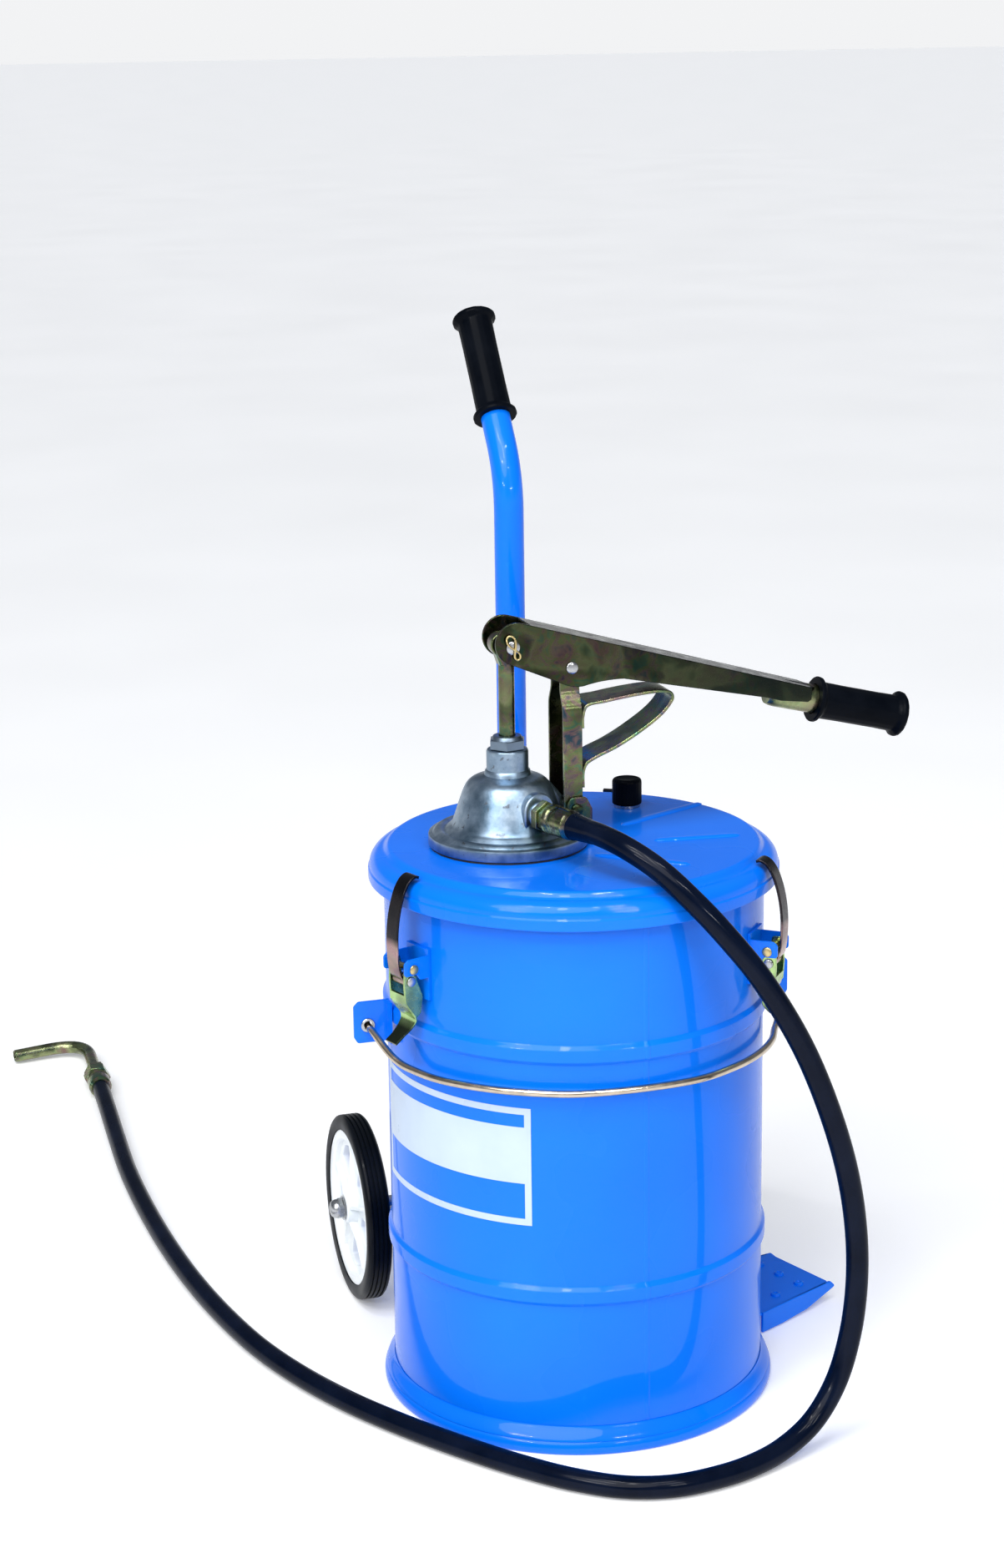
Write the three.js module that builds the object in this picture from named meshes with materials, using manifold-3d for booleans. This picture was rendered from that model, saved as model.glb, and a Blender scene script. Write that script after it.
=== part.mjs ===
// A wheeled drum with a hand-lever pump on its lid, a delivery hose and a bent nozzle.
// Millimetres, +Z up. Every piece is drawn about the drum's own axis, with the floor at Z = 0.
// One outer group then moves the whole assembly so that the origin is the middle of its footprint.
import * as THREE from "three";
import { mergeVertices } from "three/addons/utils/BufferGeometryUtils.js";
import Module from "manifold-3d";

const wasm = await Module();
wasm.setup();

// ---------------------------------------------------------------- driving dimensions
const FOOTPRINT_SHIFT = new THREE.Vector3(-54.8, -63.7, 0);
const GAP = 0.3;

const DRUM = { radius: 155, wall: 1.5, floor: 14, top: 452, bead: 3.5, lowBead: 134, highBead: 336 };
const RING = { radius: 164, height: 22 };
const LID = { radius: 167.4, panel: 151, step: 160.5, top: 467.5, skirt: 440, wall: 1.6 };
const WHEEL = { radius: 83, width: 22, rim: 69.5, x: 139, y: 206 };
const AXLE_RADIUS = 6;
const HANDLE = { radius: 12.7, x: 4, y: 182, foot: 62, corner: 739, lean: 38.5, bend: 90, grip: 103 };
const PUMP = { x: -54, y: 3, flange: 65, boss: 42, bossAngle: -70, port: 500 };
const BARREL = { outer: 22, inner: 18.5, top: 502, bottom: 40 };
const ROD = { radius: 6.5, top: 633 };
const POST = { x: -5, depth: 16, width: 40, neck: 26, pivot: 613, foot: 491, pinX: 2, pinZ: 497 };
const LEVER = {
  width: 36, sheet: 2.5, slope: 16.15, taper: 0.67, head: 17, pin: 4, gripSlope: -14, grip: 87,
};
const PISTON = { bottom: 102, top: 123.6 };
const PEDAL = { tread: 20, sheet: 3, turn: 20, inner: 53.5, outer: 41, reach: 250 };
const GRIP = { radius: 15.2, flange: 19 };
const HOSE = { radius: 9, sides: 8, steps: 58 };
const NOZZLE = { radius: 7, sleeve: 30, nut: 13.9, bend: 100, reach: 122, tail: 82 };
const BAIL = { radius: 164.5, wire: 3, hinge: 328, ear: 176.5, drop: 22 };
const LATCH = { pivotR: 171, pivotZ: 394.5, hookR: 171, hookZ: 383.5, pin: 2.5 };
const LATCHES = { left: -160, right: -40, rear: 60 };
// Sides of a full circle on large, middling and small round pieces.
const SIDES = { large: 32, middle: 24, small: 16, pin: 10 };
const CAP = { x: 74, y: 80, radius: 12.5, height: 22, neck: 8, bore: 6 };

// The delivery hose's centre line: out of the pump, down to the floor and round the drum.
const HOSE_ROUTE = [
  [-24.2, -78.9, 500], [-13.5, -108, 500], [-1, -135, 495.5], [18, -157, 482], [42, -176, 457],
  [66, -188, 428], [88, -195, 398], [119, -200, 344], [142, -202, 288], [159, -201, 232],
  [168, -199, 180], [170, -197, 135], [165, -197, 92], [152, -200, 54], [130, -207, 27],
  [100, -218, 13], [67, -231, 9.4], [33, -240, 9.4], [-2, -242, 9.4], [-37, -232, 9.4],
  [-72, -207, 9.4], [-105, -172, 9.4], [-140, -127, 9.4], [-175, -76, 9.4], [-206, -23, 9.4],
  [-233, 36, 9.4], [-254, 98, 9.4], [-270, 170, 9.4], [-282, 250, 9.4], [-290, 340, 9.4],
  [-294, 440, 9.4], [-294, 540, 9.4], [-290, 630, 10.2], [-286, 710, 12], [-283, 770, 12.6],
];

// ---------------------------------------------------------------- colours
const finish = (color, roughness, metalness) => () =>
  new THREE.MeshStandardMaterial({ color, roughness, metalness, flatShading: true });
const bluePaint = finish(0x1a6fe0, 0.3, 0);
const zincSteel = finish(0x8a7f4a, 0.35, 0.9);
const castAluminium = finish(0x9fa5ab, 0.5, 0.9);
const blackRubber = finish(0x0d1016, 0.6, 0);
const whitePlastic = finish(0xe9ecee, 0.45, 0);
const plainSteel = finish(0x8c9094, 0.35, 1);
const fibre = finish(0x4a4238, 0.9, 0);

// ---------------------------------------------------------------- geometry helpers
const rad = THREE.MathUtils.degToRad;

// A closed geometry of positions only, its faces pointing outwards.
function closed(geometry) {
  const flat = geometry.index ? geometry.toNonIndexed() : geometry.clone();
  for (const name of Object.keys(flat.attributes)) {
    if (name !== "position") flat.deleteAttribute(name);
  }
  const merged = mergeVertices(flat, 1e-3);
  const place = merged.attributes.position;
  const corners = merged.index.array;
  const faces = [];
  let volume = 0;
  for (let i = 0; i < corners.length; i += 3) {
    const [a, b, c] = [corners[i], corners[i + 1], corners[i + 2]];
    if (a === b || b === c || c === a) continue;
    faces.push([a, b, c]);
    const [p, q, r] = [a, b, c].map((k) => new THREE.Vector3().fromBufferAttribute(place, k));
    volume += p.dot(q.cross(r));
  }
  merged.setIndex(faces.flatMap(([a, b, c]) => (volume < 0 ? [a, c, b] : [a, b, c])));
  return merged;
}

function toManifold(geometry) {
  const g = closed(geometry);
  const vertProperties = new Float32Array(g.attributes.position.array);
  const triVerts = new Uint32Array(g.index.array);
  return new wasm.Manifold(new wasm.Mesh({ numProp: 3, vertProperties, triVerts }));
}

function fromManifold(solid) {
  const { vertProperties, triVerts } = solid.getMesh();
  return new THREE.BufferGeometry()
    .setAttribute("position", new THREE.BufferAttribute(new Float32Array(vertProperties), 3))
    .setIndex(new THREE.BufferAttribute(new Uint32Array(triVerts), 1));
}

const join = (...pieces) => fromManifold(pieces.map(toManifold).reduce((sum, piece) => sum.add(piece)));
const cut = (body, ...tools) =>
  fromManifold(tools.map(toManifold).reduce((rest, tool) => rest.subtract(tool), toManifold(body)));

// A profile of [radius, height] points turned about Z.
function turned(profile, sides = SIDES.middle) {
  const points = profile.map(([r, z]) => new THREE.Vector2(r, z));
  return closed(new THREE.LatheGeometry(points, sides).rotateX(Math.PI / 2));
}

// A ring, or a plain cylinder when inner is 0, from z0 to z1.
function ring(outer, inner, z0, z1, sides = SIDES.middle) {
  return turned([[inner, z0], [outer, z0], [outer, z1], [inner, z1], [inner, z0]], sides);
}

// A plain cylinder whose flat sides stay clear of a round part of the given radius.
const clearOf = (radius, z0, z1) =>
  ring((radius + GAP) / Math.cos(Math.PI / SIDES.large), 0, z0, z1, SIDES.large);

// A round bar of the given radius from a to b.
function bar(a, b, radius, sides = SIDES.pin) {
  const [from, to] = [new THREE.Vector3(...a), new THREE.Vector3(...b)];
  const span = to.clone().sub(from);
  const up = new THREE.Vector3(0, 1, 0);
  const turn = new THREE.Quaternion().setFromUnitVectors(up, span.clone().normalize());
  return new THREE.CylinderGeometry(radius, radius, span.length(), sides)
    .applyQuaternion(turn)
    .translate(...from.add(to).multiplyScalar(0.5).toArray());
}

function block(x0, x1, y0, y1, z0, z1) {
  return new THREE.BoxGeometry(x1 - x0, y1 - y0, z1 - z0)
    .translate((x0 + x1) / 2, (y0 + y1) / 2, (z0 + z1) / 2);
}

const outline = (points) => new THREE.Shape(points.map(([x, y]) => new THREE.Vector2(x, y)));
const mirrored = (points) => points.map(([x, y]) => [-x, y]).reverse();
const roundHole = (x, y, radius) => new THREE.Path().absarc(x, y, radius, 0, 2 * Math.PI, true);

// A flat shape in XY, thickened upwards from z.
function flatPlate(shape, z, thickness) {
  return new THREE.ExtrudeGeometry(shape, { depth: thickness, bevelEnabled: false, curveSegments: 6 })
    .translate(0, 0, z);
}

// A shape drawn in XZ, thickened to both sides of the plane Y = y.
function uprightPlate(shape, y, thickness) {
  return new THREE.ExtrudeGeometry(shape, { depth: thickness, bevelEnabled: false, curveSegments: 6 })
    .rotateX(Math.PI / 2)
    .translate(0, y + thickness / 2, 0);
}

// A shape drawn in YZ, thickened to both sides of the plane X = x.
function sidePlate(shape, x, thickness) {
  return uprightPlate(shape, 0, thickness).rotateZ(Math.PI / 2).translate(x, 0, 0);
}

// The outline of a bent strip of the given thickness, along a smooth line through the points.
function strip(points, thickness, samples) {
  const line = new THREE.SplineCurve(points.map(([x, y]) => new THREE.Vector2(x, y)));
  const steps = Array.from({ length: samples + 1 }, (_, i) => i / samples);
  const side = (t, sign) => {
    const way = line.getTangent(t);
    const p = line.getPoint(t);
    return new THREE.Vector2(p.x - (sign * way.y * thickness) / 2, p.y + (sign * way.x * thickness) / 2);
  };
  return new THREE.Shape([...steps.map((t) => side(t, 1)), ...steps.reverse().map((t) => side(t, -1))]);
}

// A round section swept along a curve, solid from end to end.
function swept(curve, radius, steps, sides) {
  const corners = Array.from({ length: sides }, (_, i) => (i / sides) * 2 * Math.PI);
  const section = outline(corners.map((a) => [radius * Math.cos(a), radius * Math.sin(a)]));
  return new THREE.ExtrudeGeometry(section, { steps, bevelEnabled: false, extrudePath: curve });
}

const smoothCurve = (points) =>
  new THREE.CatmullRomCurve3(points.map((p) => new THREE.Vector3(...p)), false, "centripetal");

// A straight-arc-straight line from a, round the corner, to b.
function filletPath(a, corner, b, radius) {
  const [p, c, q] = [a, corner, b].map((v) => new THREE.Vector3(...v));
  const [into, out] = [c.clone().sub(p).normalize(), q.clone().sub(c).normalize()];
  const trim = radius * Math.tan(into.angleTo(out) / 2);
  const [start, end] = [c.clone().addScaledVector(into, -trim), c.clone().addScaledVector(out, trim)];
  const path = new THREE.CurvePath();
  path.add(new THREE.LineCurve3(p, start));
  path.add(new THREE.QuadraticBezierCurve3(start, c, end));
  path.add(new THREE.LineCurve3(end, q));
  return path;
}

// The point a distance from start along a unit direction.
const along = (start, direction, distance) => start.map((v, i) => v + direction[i] * distance);

function hexagon(acrossCorners, z0, z1) {
  return new THREE.CylinderGeometry(acrossCorners / 2, acrossCorners / 2, z1 - z0, 6)
    .rotateX(Math.PI / 2)
    .translate(0, 0, (z0 + z1) / 2);
}

function piece(group, name, geometry, material) {
  const mesh = new THREE.Mesh(closed(geometry), material());
  mesh.name = name;
  group.add(mesh);
  return mesh;
}

// ---------------------------------------------------------------- drum
// A rolled bead: a low round swelling of the wall about height z.
const beadOutline = (radius, z) =>
  [-9, -4, 0, 4, 9].map((dz) => [radius + DRUM.bead * Math.cos((dz / 9) * (Math.PI / 2)) ** 2, z + dz]);

function drumShell() {
  const { radius, wall, floor, top, lowBead, highBead } = DRUM;
  const outside = [
    [0, floor], [radius - 4, floor], [radius, floor + 4],
    ...beadOutline(radius, lowBead), ...beadOutline(radius, highBead),
    [radius, top - 6], [radius + 3.4, top - 3], [radius + 2, top],
  ];
  const inside = [
    [radius - wall, top], [radius - wall, floor + 5.5], [radius - 5.5, floor + wall], [0, floor + wall],
  ];
  return turned([...outside, ...inside], SIDES.large);
}

function baseRing() {
  const inner = DRUM.radius + GAP;
  return turned([
    [inner, 10], [inner, RING.height], [inner + 1.6, RING.height], [inner + 3, 17],
    [RING.radius - 1, 9], [RING.radius, 4], [RING.radius - 1.5, 0], [150, 0], [150, 10], [inner, 10],
  ], SIDES.large);
}

// The pedal: a folded tread with raised studs and two side flanges, its inner end cut to the base ring.
function footPlate() {
  const { tread, sheet, turn, inner, outer, reach } = PEDAL;
  const start = RING.radius - 9;
  const corner = 4;
  const side = [[start, inner], [reach, outer], [reach + corner, outer - corner]];
  const top = outline([...side, ...side.map(([x, y]) => [x, -y]).reverse()]);
  const flange = outline([
    [start, 1.5], [start + 27, 1.5], [reach - 32, 4], [reach + 7, tread - 6], [reach, tread],
    [start, tread],
  ]);
  const slant = Math.atan2(inner - outer, reach - start);
  const wing = (sign) => uprightPlate(flange, sign * (outer - sheet / 2), sheet)
    .translate(-reach, 0, 0)
    .rotateZ(-sign * slant)
    .translate(reach, 0, 0);
  const stud = ([x, y]) =>
    new THREE.CylinderGeometry(3, 4.5, 3, 8).rotateX(Math.PI / 2).translate(x, y, tread);
  const studs = [[230, -26], [230, 0], [230, 26], [198, -31], [198, 31]].map(stud);
  const body = join(flatPlate(top, tread - sheet, sheet), wing(1), wing(-1), ...studs);
  return cut(body.rotateZ(rad(turn)), clearOf(RING.radius, -5, 60));
}

const drum = new THREE.Group();
piece(drum, "drum_shell", drumShell(), bluePaint);
piece(drum, "base_ring", baseRing(), bluePaint);
piece(drum, "foot_plate", footPlate(), bluePaint);

// ---------------------------------------------------------------- axle and wheels
const bracketX = 82;
function axleBracket() {
  const shape = outline([
    [100, 48], [206, 69], [218, 76], [220, 83], [216, 92], [206, 97], [100, 128],
  ]);
  shape.holes.push(roundHole(WHEEL.y, WHEEL.radius, AXLE_RADIUS + GAP));
  return cut(sidePlate(shape, bracketX, 4), clearOf(DRUM.radius, 0, 200));
}

// A five-spoked wheel about Z, its outer face upwards.
function wheelHub() {
  const bore = AXLE_RADIUS + 0.5;
  const spokeGap = (i) => {
    const [a, b] = [rad(i * 72 + 16), rad(i * 72 + 56)];
    const at = (r, t) => [r * Math.cos(t), r * Math.sin(t)];
    return flatPlate(outline([at(22, a), at(54, a), at(56.5, (a + b) / 2), at(54, b), at(22, b)]), -20, 40);
  };
  const disc = turned([
    [bore, -13], [13, -13], [15, -4], [60, -4], [63, -9], [WHEEL.rim, -9],
    [WHEEL.rim, 9], [63, 9], [60, 3], [16, 5], [13, 13], [bore, 13], [bore, -13],
  ]);
  return cut(disc, ...[0, 1, 2, 3, 4].map(spokeGap));
}

function tyre() {
  const half = WHEEL.width / 2;
  const bore = WHEEL.rim + GAP;
  const { radius } = WHEEL;
  return turned([
    [bore, -half + 1], [radius - 2.5, -half], [radius, -half + 4], [radius, half - 4], [radius - 2.5, half],
    [bore, half - 1], [bore, -half + 1],
  ]);
}

function axleNut() {
  const dome = turned([[0, 4], [9, 4], [9, 7], [6, 11], [0, 12.5]], SIDES.pin);
  return cut(join(hexagon(20, 0, 5), dome), bar([0, 0, -1], [0, 0, 9], AXLE_RADIUS + 2 * GAP));
}

const axleHalf = WHEEL.x + 21;
for (const [side, sign] of [["left", -1], ["right", 1]]) {
  piece(drum, "axle_bracket_" + side, axleBracket(), bluePaint).scale.x = sign;
  const wheel = new THREE.Group();
  wheel.position.set(sign * WHEEL.x, WHEEL.y, WHEEL.radius);
  wheel.rotation.y = (sign * Math.PI) / 2;
  piece(wheel, "wheel_hub_" + side, wheelHub(), whitePlastic);
  piece(wheel, "tyre_" + side, tyre(), blackRubber);
  piece(wheel, "axle_nut_" + side, axleNut(), plainSteel).position.z = 14;
  drum.add(wheel);
}
const axleEnds = [-axleHalf, axleHalf].map((x) => [x, WHEEL.y, WHEEL.radius]);
piece(drum, "axle", bar(...axleEnds, AXLE_RADIUS), plainSteel);

// ---------------------------------------------------------------- push handle
const leanDirection = [0, Math.sin(rad(HANDLE.lean)), Math.cos(rad(HANDLE.lean))];
const handleCorner = [HANDLE.x, HANDLE.y, HANDLE.corner];
const handleGripStart = along(handleCorner, leanDirection, 57);
const handleGripEnd = along(handleGripStart, leanDirection, HANDLE.grip);

// A rubber grip along Z from 0 to length, with a collar at each end, closed at the top.
function rubberGrip(length, bore) {
  return turned([
    [bore, 0], [GRIP.flange, 0], [GRIP.flange, 4], [GRIP.radius, 6],
    [GRIP.radius, length - 8], [GRIP.flange, length - 5.5], [GRIP.flange, length - 2.5],
    [GRIP.radius - 2, length], [0, length], [0, length - 3], [bore, length - 3], [bore, 0],
  ], SIDES.small);
}

function handleTube() {
  const end = along(handleGripEnd, leanDirection, -4);
  const foot = [HANDLE.x, HANDLE.y, HANDLE.foot];
  return swept(filletPath(foot, handleCorner, end, HANDLE.bend), HANDLE.radius, 20, 14);
}

const clampHeight = 26;
function handleClamp() {
  const bore = (HANDLE.radius + GAP) / Math.cos(Math.PI / 14);
  const half = [[30, 148], [30, 158], [19, 165], [17, HANDLE.y + 9], [9, HANDLE.y + 17]];
  const body = flatPlate(outline([...half, ...mirrored(half)]), 0, clampHeight).translate(HANDLE.x, 0, 0);
  const tube = bar([HANDLE.x, HANDLE.y, -1], [HANDLE.x, HANDLE.y, clampHeight + 1], bore, 14);
  return cut(body, tube, clearOf(DRUM.radius, -1, clampHeight + 4));
}

piece(drum, "push_handle", handleTube(), bluePaint);
const handleGripShape = rubberGrip(HANDLE.grip, HANDLE.radius + GAP);
const handleGrip = piece(drum, "push_handle_grip", handleGripShape, blackRubber);
handleGrip.position.set(...handleGripStart);
handleGrip.rotation.x = -rad(HANDLE.lean);
piece(drum, "handle_clamp_upper", handleClamp(), bluePaint).position.z = 372;
piece(drum, "handle_clamp_lower", handleClamp(), bluePaint).position.z = 160;

// ---------------------------------------------------------------- carrying bail
function bailEar() {
  const [low, high] = [BAIL.hinge - 15, BAIL.hinge + 20];
  const shape = outline([
    [-188, low + 5], [-185, low], [-150, low], [-150, high], [-184, high], [-188, high - 4],
  ]);
  shape.holes.push(roundHole(-BAIL.ear, BAIL.hinge, 2 * BAIL.wire));
  const pad = block(-160, -150, -12, 0, low, high);
  return cut(join(uprightPlate(shape, -1, 2.5), pad), clearOf(DRUM.radius + DRUM.bead, 300, 360));
}

// The wire: up behind the ear, through its hole, and a level arc round the front of the drum.
function bailWire() {
  const { ear, hinge, drop, radius, wire } = BAIL;
  const shoulder = [
    [-ear, 9, hinge + 12], [-ear, 7.5, hinge + 4], [-ear, 0, hinge - 0.5],
    [-ear + 0.5, -8, hinge - 2], [-ear + 2.5, -20, hinge - 9], [-ear + 6, -38, hinge - 18],
  ];
  const arc = [-158, -146, -134, -122, -110, -98].map(rad)
    .map((a) => [radius * Math.cos(a), radius * Math.sin(a), hinge - drop]);
  const left = [...shoulder, ...arc];
  const right = left.map(([x, y, z]) => [-x, y, z]).reverse();
  return swept(smoothCurve([...left, ...right]), wire, 46, 7);
}

piece(drum, "bail_ear_left", bailEar(), bluePaint);
piece(drum, "bail_ear_right", bailEar(), bluePaint).scale.x = -1;
piece(drum, "bail_wire", bailWire(), zincSteel);

// ---------------------------------------------------------------- lid latches
// Drawn in the plane of X (outwards) and Z, at Y = 0, then turned round the drum.
function latchBracket() {
  const { pivotR, pivotZ, pin } = LATCH;
  const cheek = outline([
    [150, 385], [165, 385], [168, 389.6], [179.5, 389.6], [179.5, 400], [176, 403], [150, 403],
  ]);
  cheek.holes.push(roundHole(pivotR, pivotZ, pin + GAP));
  const pad = block(150, 158, -15, 15, 366, 408);
  const body = join(uprightPlate(cheek, 14.1, 1.8), uprightPlate(cheek, -14.1, 1.8), pad);
  return cut(body, clearOf(DRUM.radius, 300, 450));
}

const latchBore = (r, z) => bar([r, -20, z], [r, 20, z], LATCH.pin + GAP);

function latchLever() {
  const cheek = outline([
    [167, 400], [174, 400.5], [177, 396], [177.5, 380], [176.5, 366], [166.5, 352], [162, 356], [160, 370],
    [165.5, 384],
  ]);
  const tail = strip([
    [176.4, 376], [175.6, 367], [171, 358.5], [166.3, 351], [167.5, 345.5], [174, 339.5], [184, 333],
  ], 1.8, 7);
  const body = join(uprightPlate(cheek, 10, 2), uprightPlate(cheek, -10, 2), uprightPlate(tail, 0, 19));
  return cut(body, latchBore(LATCH.pivotR, LATCH.pivotZ), latchBore(LATCH.hookR, LATCH.hookZ));
}

function latchHook() {
  const { hookR, hookZ } = LATCH;
  const half = 7.2;
  const band = strip([
    [174.6, 384.5], [177.6, 389], [179.3, 396], [180.2, 408], [180.2, 420], [178.8, 433], [175.8, 446],
    [171.3, 457.5], [166.3, 464], [161.6, 466.4], [158.2, 465.2],
  ], 2.2, 12);
  const eye = bar([hookR, -half, hookZ], [hookR, half, hookZ], 4.9);
  return cut(join(uprightPlate(band, 0, 2 * half), eye), latchBore(hookR, hookZ));
}

// A pin across the latch at [r, z], riveted over to a head at each end.
function latchPin(r, z, half) {
  const head = 1.6;
  const end = (y0, y1) => bar([r, y0, z], [r, y1, z], LATCH.pin + 1.5);
  const shank = bar([r, -half, z], [r, half, z], LATCH.pin);
  return join(shank, end(half - 0.2, half + head), end(-half - head, -half + 0.2));
}

const pivotPin = latchPin(LATCH.pivotR, LATCH.pivotZ, 15.4);
const hookPin = latchPin(LATCH.hookR, LATCH.hookZ, 11.4);
for (const [side, angle] of Object.entries(LATCHES)) {
  const latch = new THREE.Group();
  latch.rotation.z = rad(angle);
  piece(latch, "latch_" + side + "_bracket", latchBracket(), bluePaint);
  piece(latch, "latch_" + side + "_lever", latchLever(), zincSteel);
  piece(latch, "latch_" + side + "_hook", latchHook(), zincSteel);
  piece(latch, "latch_" + side + "_pivot_pin", pivotPin, plainSteel);
  piece(latch, "latch_" + side + "_hook_pin", hookPin, plainSteel);
  drum.add(latch);
}

// ---------------------------------------------------------------- lid
function lidPan() {
  const { radius, panel, step, top, skirt, wall } = LID;
  const body = turned([
    [0, top], [panel, top], [panel + 6, top - 4], [step + 2, top - 5.6],
    [radius - 1, top - 9.5], [radius, top - 13], [radius, skirt], [radius - wall, skirt],
    [radius - wall, top - 12], [step + 1, top - 7.4], [panel + 5, top - 5.6], [panel - 1, top - wall],
    [0, top - wall],
  ], SIDES.large);
  const hole = (x, y, size, sides) => bar([x, y, top - 9], [x, y, top + 9], size, sides);
  const barrelHole = hole(PUMP.x, PUMP.y, BARREL.outer + 0.8, SIDES.middle);
  return cut(body, barrelHole, hole(CAP.x, CAP.y, CAP.neck + 0.5, SIDES.small));
}

function fillerNeck() {
  const { top } = LID;
  const { neck, bore } = CAP;
  const collar = neck + 3;
  return turned([
    [bore, top - 12], [neck, top - 12], [neck, top + GAP], [collar, top + GAP], [collar, top + 2.5],
    [neck, top + 2.5], [neck, top + 16], [bore, top + 16], [bore, top - 12],
  ], SIDES.small);
}

function fillerCap() {
  const { radius, neck, height } = CAP;
  const [inside, foot] = [neck + 0.4, LID.top + 3];
  const top = foot + height;
  return turned([
    [inside, foot], [radius, foot], [radius, top - 3], [radius - 1.5, top - 0.6], [radius - 4, top],
    [0, top], [0, top - 4], [inside, top - 4], [inside, foot],
  ], SIDES.small);
}

piece(drum, "lid", lidPan(), bluePaint);
piece(drum, "lid_gasket", ring(159, 153.5, DRUM.top + GAP, DRUM.top + 8.4, SIDES.large), blackRubber);
piece(drum, "filler_neck", fillerNeck(), plainSteel).position.set(CAP.x, CAP.y, 0);
piece(drum, "filler_cap", fillerCap(), blackRubber).position.set(CAP.x, CAP.y, 0);

// ---------------------------------------------------------------- pump head, barrel and plunger
const flangeFoot = LID.top + 1.6;
const neckTop = 547;
const padTop = 482.8;

// The cast head: a bell on a round flange, a flat arched boss for the outlet and a pad for the post.
function pumpHousing() {
  const { flange, boss, bossAngle, port } = PUMP;
  const chamber = BARREL.outer + 0.5;
  const roof = 508;
  const bell = turned([
    [chamber, flangeFoot], [flange - 1, flangeFoot], [flange, flangeFoot + 1], [flange, flangeFoot + 8],
    [flange - 2, flangeFoot + 10], [flange - 9, flangeFoot + 12], [49, flangeFoot + 13.5],
    [45.5, 487], [42.5, 492], [38.6, 506], [34.4, 518], [30, 523], [17, 526.5],
    [17, neckTop], [11.5, neckTop], [11.5, 530], [7.2, 530], [7.2, 516], [chamber, roof],
    [chamber, flangeFoot],
  ]);
  const archRadius = 13;
  const arch = new THREE.Shape();
  arch.moveTo(-archRadius, padTop);
  arch.lineTo(archRadius, padTop);
  arch.absarc(0, port + 5, archRadius, 0, Math.PI, false);
  arch.lineTo(-archRadius, padTop);
  const bossBody = sidePlate(arch, boss - 8.5, 17).rotateZ(rad(bossAngle));
  const postPad = block(40, 66, -26, 26, flangeFoot, padTop);
  const outlet = bar([18, 0, port], [boss + 2, 0, port], 6.4).rotateZ(rad(bossAngle));
  return cut(join(bell, bossBody, postPad), outlet, ring(chamber, 0, flangeFoot - 1, roof));
}

function glandNut() {
  const seat = neckTop + 8;
  const collar = turned([[0, seat - 1], [13, seat - 1], [11, seat + 3], [0, seat + 3]], SIDES.small);
  const spigot = ring(11.1, 0, 540, neckTop + 1, SIDES.small);
  const bore = ring(ROD.radius + 0.5, 0, 500, 600, SIDES.small);
  return cut(join(hexagon(31, neckTop + GAP, seat), collar, spigot), bore);
}

// The eye is slotted: the lever's pin swings in an arc while the rod goes straight up and down.
function plungerRod() {
  const { radius, top } = ROD;
  const middle = -2;
  const half = 2.6;
  const eyeRadius = 9.4;
  const shoulder = top - 17;
  const slotRadius = LEVER.pin + 1;
  const slot = new THREE.Path();
  slot.absarc(middle - half, top, slotRadius, Math.PI / 2, (3 * Math.PI) / 2, false);
  slot.absarc(middle + half, top, slotRadius, -Math.PI / 2, Math.PI / 2, false);
  const eye = new THREE.Shape();
  eye.absarc(middle + half, top, eyeRadius, -Math.PI / 3, Math.PI / 2, false);
  eye.absarc(middle - half, top, eyeRadius, Math.PI / 2, (4 * Math.PI) / 3, false);
  eye.lineTo(-radius, shoulder);
  eye.lineTo(radius, shoulder);
  eye.holes.push(slot);
  return join(uprightPlate(eye, 0, 12), ring(radius, 0, PISTON.top + GAP, shoulder + 1, SIDES.small));
}

// The inlet at the barrel's foot: a slotted collar that seats the lower ball.
function footValve() {
  const plug = BARREL.inner - GAP;
  const body = turned([
    [8, 24], [BARREL.outer + 3, 24], [BARREL.outer + 3, BARREL.bottom - GAP], [plug, BARREL.bottom - GAP],
    [plug, 54], [8, 54], [8, 24],
  ], SIDES.small);
  return cut(body, ...[0, 45, 90, 135].map((a) => block(-40, 40, -2.5, 2.5, 20, 30).rotateZ(rad(a))));
}

function piston() {
  const { bottom, top } = PISTON;
  const face = BARREL.inner - 0.6;
  return turned([
    [0, bottom], [face, bottom], [face, bottom + 6], [16, bottom + 7], [16, bottom + 12],
    [face, bottom + 13], [face, bottom + 18], [0, top],
  ], SIDES.small);
}

const pump = new THREE.Group();
pump.position.set(PUMP.x, PUMP.y, 0);
const flangeGasket = ring(PUMP.flange - 1, BARREL.outer + 1, LID.top + GAP, LID.top + 1.3);
const packing = ring(11.1, ROD.radius + 0.4, 530.4, 539.6, SIDES.small);
piece(pump, "flange_gasket", flangeGasket, fibre);
piece(pump, "pump_housing", pumpHousing(), castAluminium);
piece(pump, "pump_barrel", ring(BARREL.outer, BARREL.inner, BARREL.bottom, BARREL.top), plainSteel);
piece(pump, "foot_valve", footValve(), plainSteel);
piece(pump, "gland_packing", packing, blackRubber);
piece(pump, "gland_nut", glandNut(), castAluminium);
piece(pump, "plunger_rod", plungerRod(), zincSteel);
piece(pump, "piston", piston(), blackRubber);
drum.add(pump);

// ---------------------------------------------------------------- fulcrum post and carrying handle
// Drawn about the fulcrum pin's X, with Z as built.
const bracketFoot = padTop + GAP;
const crossBore = (x, z) => bar([x, -40, z], [x, 40, z], LEVER.pin + GAP);

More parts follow.
